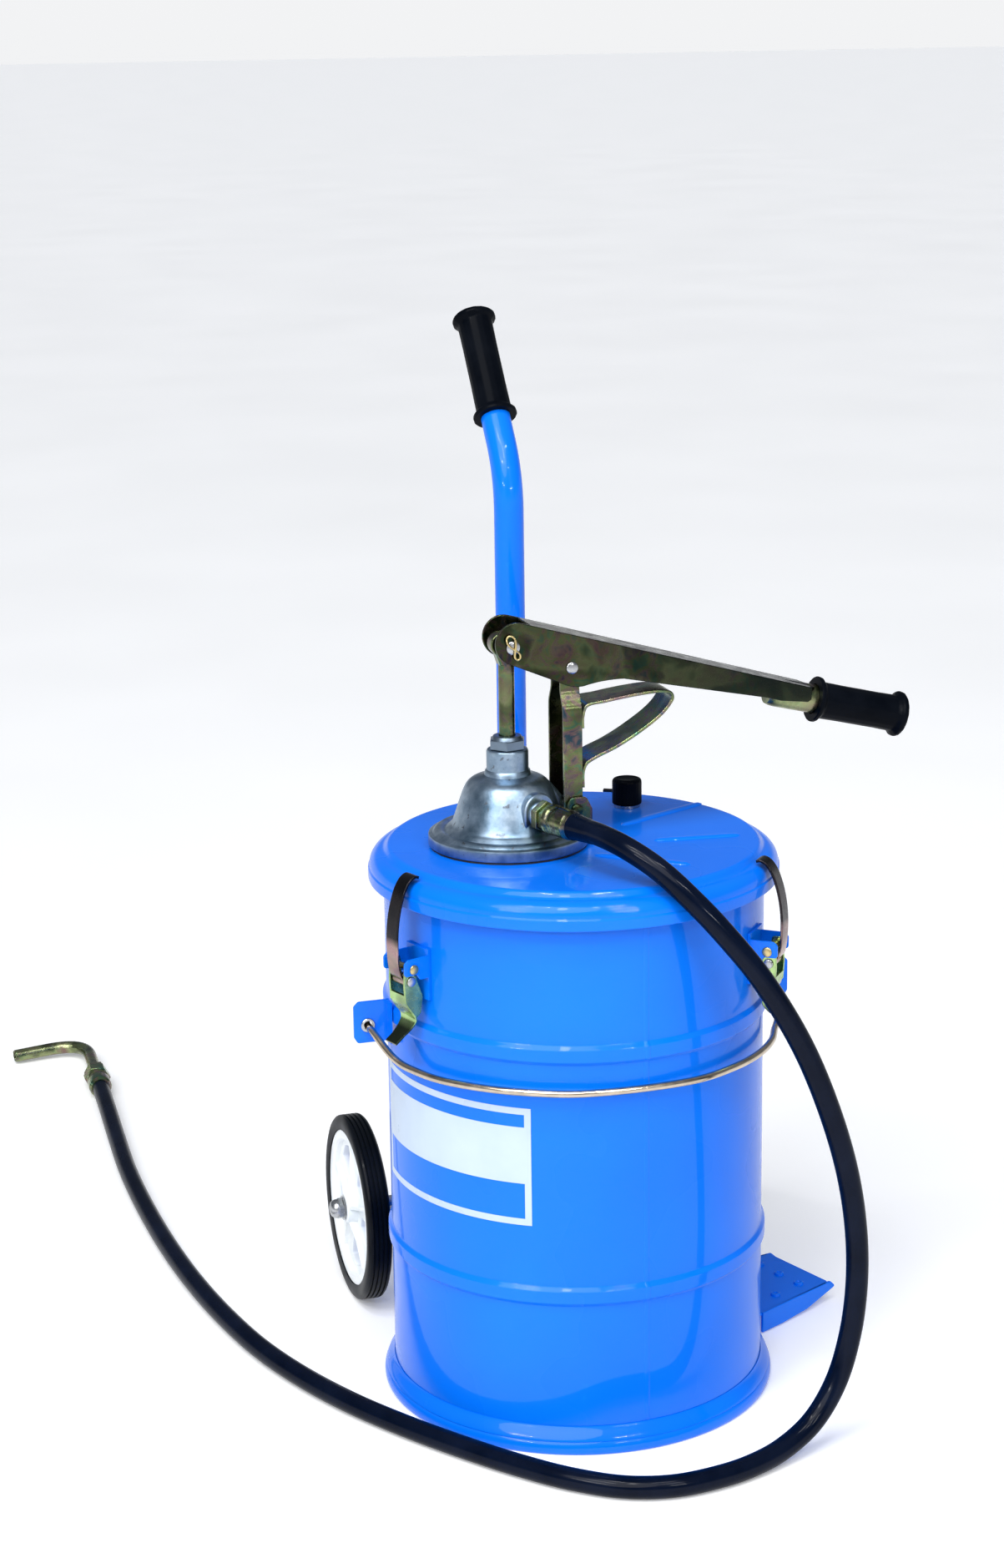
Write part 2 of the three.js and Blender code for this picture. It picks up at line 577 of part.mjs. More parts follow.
function fulcrumBracket() {
  const cheek = outline([
    [0.5, bracketFoot], [15, bracketFoot], [15, 497], [10, 507], [-3, 507], [-6, 502], [-6, 491], [0.5, 487],
  ]);
  const side = POST.width / 2 + 2;
  const body = join(
    block(0.5, 15, -side - 3, side + 3, bracketFoot, bracketFoot + 3),
    uprightPlate(cheek, side, 2.6),
    uprightPlate(cheek, -side, 2.6),
  );
  return cut(body, crossBore(POST.pinX, POST.pinZ));
}

// A U channel open towards the pump, narrowed at the top to stand inside the lever.
function fulcrumPost() {
  const { depth, width, neck, pivot, foot, pinX, pinZ } = POST;
  const [shoulder, top, round] = [585, pivot + 9, 9];
  const channel = (inset, past) => {
    const [wide, narrow] = [width / 2 - inset, neck / 2 - inset];
    const half = [[wide, foot - past], [wide, shoulder], [narrow, shoulder + 7], [narrow, top + past]];
    return outline([...half, ...mirrored(half)]);
  };
  const outer = sidePlate(channel(0, 0), 0, depth);
  const hollow = sidePlate(channel(LEVER.sheet, 1), -LEVER.sheet, depth);
  const envelope = join(
    bar([0, -30, pivot], [0, 30, pivot], round, SIDES.small),
    block(-round, round, -30, 30, foot - 5, pivot),
  );
  const rounded = toManifold(cut(outer, hollow)).intersect(toManifold(envelope));
  return cut(fromManifold(rounded), crossBore(0, pivot), crossBore(pinX, pinZ));
}

// The D-shaped strip behind the post: it carries the drum, and the lever rests on its bend.
function carryHandle() {
  const half = 17;
  const [inner, outer] = [POST.depth / 2 + GAP, POST.depth / 2 + GAP + 2.6];
  const line = [
    [9.7, 574], [13, 580], [30, 583], [55, 586.2], [78, 587.2], [86, 584], [85, 578], [76, 568],
    [58, 555.5], [38, 544.5], [20, 537], [13, 532], [9.7, 526],
  ];
  return join(
    uprightPlate(strip(line, 2.6, 26), 0, 2 * half),
    block(inner, outer, -half, half, 560, 576),
    block(inner, outer, -half, half, 512, 528),
  );
}

// A pin across Y with a flat head at each end.
function headedPin(half, radius, head) {
  const end = (y0, y1) => bar([0, y0, 0], [0, y1, 0], head);
  const shank = bar([0, -half, 0], [0, half, 0], radius);
  return join(shank, end(-half - 2, -half + 0.2), end(half - 0.2, half + 2));
}

const fulcrum = new THREE.Group();
fulcrum.position.set(POST.x, PUMP.y, 0);
piece(fulcrum, "fulcrum_bracket", fulcrumBracket(), zincSteel);
piece(fulcrum, "fulcrum_post", fulcrumPost(), zincSteel);
const footPin = piece(fulcrum, "post_foot_pin", headedPin(24, LEVER.pin, 6.5), plainSteel);
footPin.position.set(POST.pinX, 0, POST.pinZ);
piece(fulcrum, "carry_handle", carryHandle(), zincSteel);

// ---------------------------------------------------------------- lever, drawn about the fulcrum pin
const rodPinAt = [PUMP.x - POST.x, ROD.top - POST.pivot];
const leverHead = [-46.5, 22.6];
const topEdge = (x) => 37.3 - (x + 36) * Math.tan(rad(LEVER.slope));
const taperPivot = 70;
const leverWebEnd = 206;
const leverGripStart = [215, 0, -46.5];
const leverDirection = [Math.cos(rad(LEVER.gripSlope)), 0, Math.sin(rad(LEVER.gripSlope))];

function leverCheek(sign) {
  const { width, sheet, taper, head } = LEVER;
  const shape = new THREE.Shape();
  shape.absarc(...leverHead, head, rad(73.9), rad(243), false);
  shape.lineTo(-10, -11.8);
  shape.quadraticCurveTo(0, -17.5, 10, -16);
  shape.quadraticCurveTo(26, -12, 44, -12.6);
  shape.lineTo(168, -38.5);
  shape.lineTo(180, -42);
  shape.lineTo(204, -45);
  shape.lineTo(206, topEdge(206));
  shape.lineTo(-36, topEdge(-36));
  return uprightPlate(shape, sign * (width / 2 - sheet / 2), sheet)
    .translate(-taperPivot, 0, 0)
    .rotateZ(-sign * rad(taper))
    .translate(taperPivot, 0, 0);
}

// Two cheeks that close in towards the grip, a web along their top edge and a stub inside the grip.
function pumpLever() {
  const { width, sheet, taper } = LEVER;
  const half = (x) => width / 2 - (x - taperPivot) * Math.tan(rad(taper)) - GAP;
  const webEnds = [[-34, -half(-34)], [leverWebEnd, -half(leverWebEnd)]];
  const web = flatPlate(outline([...webEnds, ...webEnds.map(([x, y]) => [x, -y]).reverse()]), 0, sheet);
  const place = web.attributes.position;
  for (let i = 0; i < place.count; i++) place.setZ(i, place.getZ(i) + topEdge(place.getX(i)) - sheet);
  const stub = bar(
    along(leverGripStart, leverDirection, -52),
    along(leverGripStart, leverDirection, LEVER.grip - 7),
    12,
    SIDES.small,
  );
  return cut(join(leverCheek(1), leverCheek(-1), web, stub), crossBore(...rodPinAt), crossBore(0, 0));
}

const lever = new THREE.Group();
lever.position.z = POST.pivot;
piece(lever, "pump_lever", pumpLever(), zincSteel);
const leverGrip = piece(lever, "lever_grip", rubberGrip(LEVER.grip, 12.3), blackRubber);
leverGrip.position.set(...leverGripStart);
leverGrip.rotation.y = Math.PI / 2 - rad(LEVER.gripSlope);
const rodPin = piece(lever, "rod_pin", headedPin(20.2, LEVER.pin, 5.6), plainSteel);
rodPin.position.set(rodPinAt[0], 0, rodPinAt[1]);
piece(lever, "fulcrum_pin", headedPin(19.5, LEVER.pin, 6), plainSteel);
fulcrum.add(lever);
drum.add(fulcrum);

// ---------------------------------------------------------------- outlet, hose and nozzle
// Drawn along +X, then turned to the outlet's direction.
function outletAdapter() {
  const face = PUMP.boss;
  const length = (x0, x1, radius) => bar([x0, 0, 0], [x1, 0, 0], radius);
  const nut = hexagon(28, face + 3, face + 15).rotateY(Math.PI / 2);
  const body = join(nut, length(face - 12, face + 4, 6.1), length(face + 14, face + 20, 7));
  return cut(body, length(face - 20, face + 12, 3));
}

// A crimped sleeve along +X with a round collar at its outer end.
function hoseFerrule(length) {
  const [bore, socket] = [7.4, length - 8];
  return turned([
    [bore, 0], [10.6, 0], [10.6, 2.5], [12, 4], [12, socket], [11.2, length - 6], [12.4, length - 4],
    [12.4, length - 1], [11.4, length], [0, length], [0, socket], [bore, socket], [bore, 0],
  ], SIDES.small).rotateY(Math.PI / 2);
}

const outlet = new THREE.Group();
outlet.position.set(0, 0, PUMP.port);
outlet.rotation.z = rad(PUMP.bossAngle);
piece(outlet, "outlet_adapter", outletAdapter(), zincSteel);
piece(outlet, "outlet_ferrule", hoseFerrule(29), zincSteel).position.x = PUMP.boss + 15.6;
pump.add(outlet);
const hoseTube = swept(smoothCurve(HOSE_ROUTE), HOSE.radius, HOSE.steps, HOSE.sides);
piece(drum, "delivery_hose", hoseTube, blackRubber);

const [beforeEnd, hoseEnd] = HOSE_ROUTE.slice(-2);
const nozzle = new THREE.Group();
nozzle.position.set(...hoseEnd);
nozzle.rotation.z = Math.atan2(hoseEnd[1] - beforeEnd[1], hoseEnd[0] - beforeEnd[0]);
const nutStart = NOZZLE.sleeve + 2 * GAP;

function nozzleNut() {
  const body = hexagon(NOZZLE.nut * 2, 0, 24).rotateY(Math.PI / 2).translate(nutStart, 0, 0);
  return cut(body, bar([nutStart + 4, 0, 0], [nutStart + 30, 0, 0], NOZZLE.radius + 3 * GAP));
}

// The delivery spout: straight out of the nut, then bent over to its open tip.
function nozzleTube() {
  const { radius, bend, reach, tail } = NOZZLE;
  const start = [nutStart + 6, 0, 0];
  const corner = [nutStart + reach, 0, 0];
  const heading = new THREE.Vector3(Math.cos(rad(bend)), Math.sin(rad(bend)), -0.045);
  const direction = heading.normalize().toArray();
  const tip = along(corner, direction, tail);
  const spout = swept(filletPath(start, corner, tip, 38), radius, 18, 14);
  return cut(spout, bar(tip, along(tip, direction, -tail / 2), radius - 2.4));
}

const endSleeve = hoseFerrule(NOZZLE.sleeve).rotateZ(Math.PI).translate(NOZZLE.sleeve + GAP, 0, 0);
piece(nozzle, "nozzle_ferrule", endSleeve, zincSteel);
piece(nozzle, "nozzle_nut", nozzleNut(), zincSteel);
piece(nozzle, "nozzle_tube", nozzleTube(), zincSteel);
drum.add(nozzle);

const assembly = new THREE.Group();
drum.position.copy(FOOTPRINT_SHIFT);
assembly.add(drum);

export default assembly;
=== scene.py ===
import math
import bmesh
import bpy
from mathutils import Matrix, Vector


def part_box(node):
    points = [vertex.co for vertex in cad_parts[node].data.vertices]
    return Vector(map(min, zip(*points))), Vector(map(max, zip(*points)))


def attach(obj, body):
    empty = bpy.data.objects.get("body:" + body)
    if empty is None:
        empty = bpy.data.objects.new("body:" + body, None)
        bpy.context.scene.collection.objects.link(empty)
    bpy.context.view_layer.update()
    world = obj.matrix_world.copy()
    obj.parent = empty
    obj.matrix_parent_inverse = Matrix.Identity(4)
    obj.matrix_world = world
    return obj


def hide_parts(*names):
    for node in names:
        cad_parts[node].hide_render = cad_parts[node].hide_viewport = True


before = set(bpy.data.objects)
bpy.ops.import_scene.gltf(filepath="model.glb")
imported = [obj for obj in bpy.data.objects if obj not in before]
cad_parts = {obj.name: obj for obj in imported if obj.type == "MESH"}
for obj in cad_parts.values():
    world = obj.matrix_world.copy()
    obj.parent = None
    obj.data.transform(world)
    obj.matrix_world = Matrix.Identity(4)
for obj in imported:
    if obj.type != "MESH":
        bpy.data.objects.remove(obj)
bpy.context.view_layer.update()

# ---------------- frame of the drum's own axis
# Shapes are drawn in millimetres about the drum's axis, floor at 0, and moved once into the row frame.
# Materials, lamps and the floor are in metres.
low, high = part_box("drum_shell")
SHIFT = Vector(((low.x + high.x) / 2, (low.y + high.y) / 2, 0))
TO_ROW = Matrix.Translation(SHIFT) @ Matrix.Scale(0.001, 4)
IDENTITY = Matrix.Identity(4)
PUMP = (-54.0, 3.0)
BOSS_ANGLE = -70
PORT_Z = 500
POST = (-5.0, 3.0, 613.0)
POST_FOOT = (2, 497)
FILLER = (74, 80)
TUBE = (4, 182)
AXLE = (206, 83)
AXLE_HALF = 160
WHEEL_X = 139
SIDES = (("left", -1), ("right", 1))


def rad(degrees):
    return math.radians(degrees)


def move(x=0.0, y=0.0, z=0.0):
    return Matrix.Translation((x, y, z))


def turn(degrees, axis):
    return Matrix.Rotation(rad(degrees), 4, axis)


UPRIGHT = turn(90, "X")              # a flat drawing stands in XZ, thick along Y
SIDEWAYS = turn(90, "Z") @ UPRIGHT   # or in YZ, thick along X
AXIS_X = turn(90, "Y")               # a turned shape lies along X
AXIS_Y = turn(-90, "X")              # or along Y


# ---------------- camera
CAMERA_TURN = 18
CAMERA_PLACE = (-709.8, -2184.6, 1112.8)
CAMERA_YAW, CAMERA_PITCH, CAMERA_ROLL = -1.429, 14.616, -0.84
CAMERA_LENS = 67.29


def add_camera():
    """The view: a place and three angles, in a frame that is turned about Z against the drum's."""
    psi = rad(CAMERA_TURN)
    place = Vector(CAMERA_PLACE)
    yaw, pitch, roll = rad(CAMERA_YAW), rad(CAMERA_PITCH), rad(CAMERA_ROLL)
    f = Vector((math.sin(yaw) * math.cos(pitch), math.cos(yaw) * math.cos(pitch), -math.sin(pitch)))
    f = Vector((f.x * math.cos(psi) + f.y * math.sin(psi), -f.x * math.sin(psi) + f.y * math.cos(psi), f.z))
    r = f.cross(Vector((0, 0, 1))).normalized()
    u = r.cross(f)
    right = r * math.cos(roll) + u * math.sin(roll)
    up = -r * math.sin(roll) + u * math.cos(roll)
    data = bpy.data.cameras.new("camera")
    data.sensor_width = 36
    data.lens = CAMERA_LENS
    data.clip_end = 400
    cam = bpy.data.objects.new("camera", data)
    turned = Matrix((right, up, -f)).transposed().to_4x4()
    cam.matrix_world = Matrix.Translation(TO_ROW @ place) @ turned
    bpy.context.scene.collection.objects.link(cam)
    bpy.context.scene.camera = cam


add_camera()


# ---------------- shapes as (vertices, faces)
def placed(shape, place):
    verts, faces = shape
    return [place @ Vector(v) for v in verts], faces


def lathe(profile, sides=96, place=IDENTITY, wave=None):
    """A profile of (radius, height) turned about Z; wave(angle) scales the radius."""
    verts, faces, rows = [], [], []
    for r, z in profile:
        if r < 1e-6:
            rows.append([len(verts)] * sides)
            verts.append((0, 0, z))
            continue
        row = []
        for i in range(sides):
            a = 2 * math.pi * i / sides
            k = r + (wave(a) if wave else 0)
            row.append(len(verts))
            verts.append((k * math.cos(a), k * math.sin(a), z))
        rows.append(row)
    for lower, upper in zip(rows, rows[1:]):
        for i in range(sides):
            j = (i + 1) % sides
            ring = [lower[i], lower[j], upper[j], upper[i]]
            face = [v for n, v in enumerate(ring) if v != ring[n - 1]]
            if len(face) > 2:
                faces.append(face)
    return placed((verts, faces), place)


def arc(cx, cy, radius, start, end, count=10):
    return [(cx + radius * math.cos(rad(start + (end - start) * i / count)),
             cy + radius * math.sin(rad(start + (end - start) * i / count))) for i in range(count + 1)]


def circle(x, y, r, count=32):
    step = 2 * math.pi
    return [(x + r * math.cos(step * i / count), y + r * math.sin(step * i / count)) for i in range(count)]


def polar(r, degrees):
    return (r * math.cos(rad(degrees)), r * math.sin(rad(degrees)))


def rounded(points, radius, count=5):
    """The closed outline with each corner rounded; radius is one number or one for each corner."""
    out = []
    for i, corner in enumerate(points):
        size = radius[i] if isinstance(radius, (list, tuple)) else radius
        p, c, q = (Vector(points[i - 1]), Vector(corner), Vector(points[(i + 1) % len(points)]))
        if size <= 0:
            out.append(tuple(c))
            continue
        a, b = (p - c), (q - c)
        half = a.angle(b) / 2
        trim = min(size / max(math.tan(half), 1e-3), a.length * 0.49, b.length * 0.49)
        s, e = c + a.normalized() * trim, c + b.normalized() * trim
        for k in range(count + 1):
            t = k / count
            out.append(tuple(s * (1 - t) ** 2 + c * 2 * t * (1 - t) + e * t ** 2))
    return out


def plate(loops, thickness, bevel=0.4, place=IDENTITY):
    """A flat outline, with holes, thickened to both sides of its plane, its edges eased."""
    if not isinstance(loops[0], list):
        loops = [loops]
    curve = bpy.data.curves.new("outline", "CURVE")
    curve.dimensions = "2D"
    curve.fill_mode = "BOTH"
    curve.extrude = thickness / 2 - bevel
    curve.bevel_depth = bevel
    curve.bevel_resolution = 2
    curve.offset = -bevel
    for loop in loops:
        spline = curve.splines.new("POLY")
        spline.points.add(len(loop) - 1)
        for point, (x, y) in zip(spline.points, loop):
            point.co = (x, y, 0, 1)
        spline.use_cyclic_u = True
    holder = bpy.data.objects.new("outline", curve)
    bpy.context.scene.collection.objects.link(holder)
    bpy.context.view_layer.update()
    mesh = holder.evaluated_get(bpy.context.evaluated_depsgraph_get()).to_mesh()
    shape = ([v.co.copy() for v in mesh.vertices], [list(p.vertices) for p in mesh.polygons])
    bpy.data.objects.remove(holder)
    bpy.data.curves.remove(curve)
    return placed(shape, place)


def spline(points, count):
    """A smooth line through 2-D or 3-D points (centripetal)."""
    pts = [Vector(p) for p in points]
    pts = [pts[0] * 2 - pts[1]] + pts + [pts[-1] * 2 - pts[-2]]
    knots = [0.0]
    for a, b in zip(pts, pts[1:]):
        knots.append(knots[-1] + max((b - a).length, 1e-9) ** 0.5)
    out = []
    first, last = knots[1], knots[-2]
    k = 1
    for n in range(count + 1):
        t = first + (last - first) * n / count
        while k < len(pts) - 3 and t > knots[k + 1]:
            k += 1
        p0, p1, p2, p3 = pts[k - 1:k + 3]
        t0, t1, t2, t3 = knots[k - 1:k + 3]
        a1 = p0.lerp(p1, (t - t0) / (t1 - t0))
        a2 = p1.lerp(p2, (t - t1) / (t2 - t1))
        a3 = p2.lerp(p3, (t - t2) / (t3 - t2))
        b1 = a1.lerp(a2, (t - t0) / (t2 - t0))
        b2 = a2.lerp(a3, (t - t1) / (t3 - t1))
        out.append(b1.lerp(b2, (t - t1) / (t2 - t1)))
    return out


def band(points, thickness, count=60):
    """The outline of a bent strip along a smooth line."""
    line = spline(points, count)
    left, right = [], []
    for i, p in enumerate(line):
        way = (line[min(i + 1, count)] - line[max(i - 1, 0)]).normalized() * (thickness / 2)
        left.append((p.x - way.y, p.y + way.x))
        right.append((p.x + way.y, p.y - way.x))
    return left + right[::-1]


def fillet(a, corner, b, radius, count=24):
    """Straight, arc, straight."""
    a, c, b = Vector(a), Vector(corner), Vector(b)
    u, v = (a - c).normalized(), (b - c).normalized()
    half = u.angle(v) / 2
    trim = radius / math.tan(half)
    centre = c + (u + v).normalized() * (radius / math.sin(half))
    start, end = (c + u * trim - centre).normalized(), (c + v * trim - centre).normalized()
    return [a] + [centre + start.slerp(end, i / count) * radius for i in range(count + 1)] + [b]


def sweep(path, radius, sides=24, ends=True):
    """A round section along a line; radius is a number or a function of the place from 0 to 1."""
    path = [Vector(p) for p in path]
    size = radius if callable(radius) else (lambda _: radius)
    tangents = []
    for i in range(len(path)):
        tangents.append((path[min(i + 1, len(path) - 1)] - path[max(i - 1, 0)]).normalized())
    side = tangents[0].orthogonal().normalized()
    verts, faces = [], []
    for i, (p, t) in enumerate(zip(path, tangents)):
        side = (side - t * side.dot(t)).normalized()
        other = t.cross(side)
        r = size(i / (len(path) - 1))
        for k in range(sides):
            a = 2 * math.pi * k / sides
            verts.append(p + side * (r * math.cos(a)) + other * (r * math.sin(a)))
    for i in range(len(path) - 1):
        for k in range(sides):
            j = (k + 1) % sides
            faces.append([i * sides + k, i * sides + j, (i + 1) * sides + j, (i + 1) * sides + k])
    if ends:
        faces.append(list(range(sides))[::-1])
        faces.append([(len(path) - 1) * sides + k for k in range(sides)])
    return verts, faces


def dome(radius, height, base, place, sides=32):
    """A rivet or screw head: a low cap on a short rim."""
    cap = [(radius * math.cos(rad(a)), base + height * (0.35 + 0.65 * math.sin(rad(a))))
           for a in range(0, 90, 15)]
    return lathe([(0, base), (radius, base)] + cap + [(0, base + height)], sides, place)


def hexagon(across, place, z0, z1, bevel=0.7):
    corners = [(across / 2 * math.cos(rad(60 * i)), across / 2 * math.sin(rad(60 * i))) for i in range(6)]
    return plate(corners, z1 - z0, bevel, place @ move(z=(z0 + z1) / 2))


def bored(shape, cutters):
    """The closed shape with each cutter cut out of it."""
    made = []
    for verts, faces in (shape, *cutters):
        work = bmesh.new()
        points = [work.verts.new(v) for v in verts]
        for face in faces:
            try:
                work.faces.new([points[i] for i in face])
            except ValueError:
                continue
        bmesh.ops.remove_doubles(work, verts=work.verts, dist=2e-3)
        bmesh.ops.recalc_face_normals(work, faces=work.faces)
        mesh = bpy.data.meshes.new("bored")
        work.to_mesh(mesh)
        work.free()
        made.append(bpy.data.objects.new("bored", mesh))
        bpy.context.scene.collection.objects.link(made[-1])
    for cutter in made[1:]:
        cut = made[0].modifiers.new("cut", "BOOLEAN")
        cut.object, cut.operation, cut.solver = cutter, "DIFFERENCE", "EXACT"
    bpy.context.view_layer.update()
    mesh = made[0].evaluated_get(bpy.context.evaluated_depsgraph_get()).to_mesh()
    out = ([v.co.copy() for v in mesh.vertices], [list(p.vertices) for p in mesh.polygons])
    for item in made:
        bpy.data.objects.remove(item)
    return out


# ---------------- pieces
def build(name, shapes, body, material, sharp=32, replaces=()):
    mesh = bpy.data.meshes.new(name)
    work = bmesh.new()
    for verts, faces in shapes:
        made = [work.verts.new(TO_ROW @ Vector(v)) for v in verts]
        for face in faces:
            try:
                work.faces.new([made[i] for i in face])
            except ValueError:
                continue
    bmesh.ops.remove_doubles(work, verts=work.verts, dist=2e-6)
    loose = [v for v in work.verts if not v.link_faces]
    bmesh.ops.delete(work, geom=loose, context="VERTS")
    bmesh.ops.recalc_face_normals(work, faces=work.faces)
    work.to_mesh(mesh)
    work.free()
    mesh.shade_smooth()
    mesh.set_sharp_from_angle(angle=rad(sharp))
    mesh.materials.append(material)
    piece = bpy.data.objects.new(name, mesh)
    bpy.context.scene.collection.objects.link(piece)
    normals = piece.modifiers.new("normals", "WEIGHTED_NORMAL")
    normals.keep_sharp = True
    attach(piece, body)
    if replaces:
        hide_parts(*replaces)
    return piece


# ---------------- materials
def node_tree(name):
    material = bpy.data.materials.new(name)
    material.use_nodes = True
    tree = material.node_tree
    shader = tree.nodes["Principled BSDF"]
    coords = tree.nodes.new("ShaderNodeTexCoord").outputs["Object"]
    return material, tree, shader, coords


def noise(tree, coords, scale, detail=4.0, roughness=0.55, distortion=0.0, stretch=None):
    if stretch:
        mapping = tree.nodes.new("ShaderNodeMapping")
        mapping.inputs["Scale"].default_value = stretch
        tree.links.new(coords, mapping.inputs["Vector"])
        coords = mapping.outputs["Vector"]
    node = tree.nodes.new("ShaderNodeTexNoise")
    for key, value in (("Scale", scale), ("Detail", detail), ("Roughness", roughness),
                       ("Distortion", distortion)):
        node.inputs[key].default_value = value
    tree.links.new(coords, node.inputs["Vector"])
    return node.outputs["Fac"]


def ramp(tree, factor, stops):
    node = tree.nodes.new("ShaderNodeValToRGB")
    elements = node.color_ramp.elements
    while len(elements) < len(stops):
        elements.new(0.5)
    for element, (place, color) in zip(elements, stops):
        element.position = place
        element.color = (*color, 1) if len(color) == 3 else color
    tree.links.new(factor, node.inputs["Fac"])
    return node.outputs["Color"]


def mix(tree, factor, a, b, how="MIX"):
    node = tree.nodes.new("ShaderNodeMix")
    node.data_type = "RGBA"
    node.blend_type = how
    for socket, value in ((node.inputs[0], factor), (node.inputs[6], a), (node.inputs[7], b)):
        if isinstance(value, bpy.types.NodeSocket):
            tree.links.new(value, socket)
        else:
            socket.default_value = value if isinstance(value, (int, float)) else (*value, 1)
    return node.outputs[2]


def remap(tree, value, low_in, high_in, low_out, high_out):
    node = tree.nodes.new("ShaderNodeMapRange")
    for i, number in enumerate((low_in, high_in, low_out, high_out)):
        node.inputs[i + 1].default_value = number
    tree.links.new(value, node.inputs[0])
    return node.outputs[0]


def bumps(tree, shader, layers):
    """layers: (height output, distance in metres, strength)."""
    normal = None
    for height, distance, strength in layers:
        node = tree.nodes.new("ShaderNodeBump")
        node.inputs["Distance"].default_value = distance
        node.inputs["Strength"].default_value = strength
        tree.links.new(height, node.inputs["Height"])
        if normal:
            tree.links.new(normal, node.inputs["Normal"])
        normal = node.outputs["Normal"]
    tree.links.new(normal, shader.inputs["Normal"])


def edges(tree, start=0.6, end=0.8, most=0.4):
    """0 on flat areas, up to most on raised edges; start and end are values of Pointiness. The lighter edges
    it paints are partly wear, partly painted highlight.
    """
    point = tree.nodes.new("ShaderNodeNewGeometry").outputs["Pointiness"]
    return remap(tree, point, start, end, 0, most)


def paint():
    material, tree, shader, coords = node_tree("blue_gloss_paint")
    broad = noise(tree, coords, 5, 3)
    fine = noise(tree, coords, 260, 2)
    color = ramp(tree, broad, [(0.3, (0.0004, 0.142, 0.77)), (0.7, (0.001, 0.168, 0.85))])
    scuff = remap(tree, noise(tree, coords, 34, 8, 0.7, 0.4), 0.66, 0.74, 0, 0.3)
    color = mix(tree, scuff, color, (0.008, 0.22, 0.9))
    tree.links.new(color, shader.inputs["Base Color"])
    tree.links.new(remap(tree, broad, 0.3, 0.7, 0.24, 0.32), shader.inputs["Roughness"])
    shader.inputs["Specular IOR Level"].default_value = 0.06
    shader.inputs["Coat Weight"].default_value = 0.36
    shader.inputs["Coat Roughness"].default_value = 0.012
    bumps(tree, shader, [(noise(tree, coords, 22, 2), 0.0006, 0.12), (fine, 0.0001, 0.1)])
    return material


def along(tree, coords, axis, start, end, low=0.0, high=1.0):
    """Goes from low to high between two places on one axis of the object, in metres."""
    split = tree.nodes.new("ShaderNodeSeparateXYZ")
    tree.links.new(coords, split.inputs["Vector"])
    return remap(tree, split.outputs[axis], start, end, low, high)


def zinc(name="zinc_passivate", dark=1.0, shade=None, film=None):
    """shade: (axis, start, end, most, colour) of a stretch painted darker, a painted dark reflection.

    film: a colour over it all.
    """
    material, tree, shader, coords = node_tree(name)
    cloud = noise(tree, coords, 30, 3, 0.5, 0.6)
    bands = noise(tree, coords, 75, 3, 0.6, 1.2)
    tones = ((0.025, 0.032, 0.03), (0.1, 0.12, 0.065), (0.27, 0.31, 0.15), (0.2, 0.13, 0.11))
    olive = ramp(tree, cloud, [(place, tuple(dark * c for c in tone)) for place, tone in
                               zip((0.34, 0.46, 0.55, 0.68), tones)])
    films = ((0.07, 0.26, 0.17), (0.24, 0.28, 0.1), (0.3, 0.17, 0.2), (0.03, 0.09, 0.16))
    tint = ramp(tree, bands, [(place, tuple(dark * c for c in film)) for place, film in
                              zip((0.36, 0.47, 0.57, 0.68), films)])
    where = remap(tree, noise(tree, coords, 18, 2), 0.42, 0.62, 0.1, 0.65)
    color = mix(tree, where, olive, tint)
    if film:
        color = mix(tree, remap(tree, cloud, 0.35, 0.6, 0.35, 0.8), color, film)
    # Painted dark reflection: a darker colour over a stretch along one axis of the object.
    if shade:
        axis, start, end, most, painted_dark = shade
        color = mix(tree, along(tree, coords, axis, start, end, 0, most), color, painted_dark)
    # Cream lighter edges: partly rubbed edges, partly painted highlight.
    color = mix(tree, edges(tree), color, (0.8, 0.78, 0.5))
    tree.links.new(color, shader.inputs["Base Color"])
    shader.inputs["Metallic"].default_value = 1
    tree.links.new(remap(tree, bands, 0.3, 0.7, 0.18, 0.34), shader.inputs["Roughness"])
    bumps(tree, shader, [(noise(tree, coords, 420, 4), 0.00012, 0.25),
                         (noise(tree, coords, 60, 2), 0.0004, 0.1)])
    return material


def aluminium():
    material, tree, shader, coords = node_tree("cast_aluminium")
    cloud = noise(tree, coords, 28, 5, 0.6)
    grain = noise(tree, coords, 620, 5, 0.65)
    # Grey tones with a blue cast; the blue cast is a painted reflection of the blue lid.
    tones = [(0.34, (0.1, 0.17, 0.24)), (0.52, (0.26, 0.35, 0.45)), (0.68, (0.5, 0.6, 0.68))]
    color = ramp(tree, cloud, tones)
    pits = remap(tree, noise(tree, coords, 190, 2, 0.5), 0.66, 0.72, 0, 0.8)
    color = mix(tree, pits, color, (0.12, 0.13, 0.15))
    # Lighter edges: partly machined edges, partly painted highlight.
    color = mix(tree, edges(tree), color, (0.9, 0.92, 0.95))
    tree.links.new(color, shader.inputs["Base Color"])
    shader.inputs["Metallic"].default_value = 1
    tree.links.new(remap(tree, cloud, 0.3, 0.7, 0.3, 0.44), shader.inputs["Roughness"])
    bumps(tree, shader, [(grain, 0.0002, 0.4), (noise(tree, coords, 90, 3), 0.0005, 0.3)])
    return material


def steel(name="plain_steel", tone=(0.5, 0.51, 0.52), rough=(0.2, 0.36)):
    material, tree, shader, coords = node_tree(name)
    cloud = noise(tree, coords, 60, 4)
    dark = tuple(0.72 * c for c in tone)
    tree.links.new(ramp(tree, cloud, [(0.3, dark), (0.65, tone)]), shader.inputs["Base Color"])
    shader.inputs["Metallic"].default_value = 1
    tree.links.new(remap(tree, cloud, 0.3, 0.7, *rough), shader.inputs["Roughness"])
    bumps(tree, shader, [(noise(tree, coords, 500, 3), 0.0001, 0.25)])
    return material


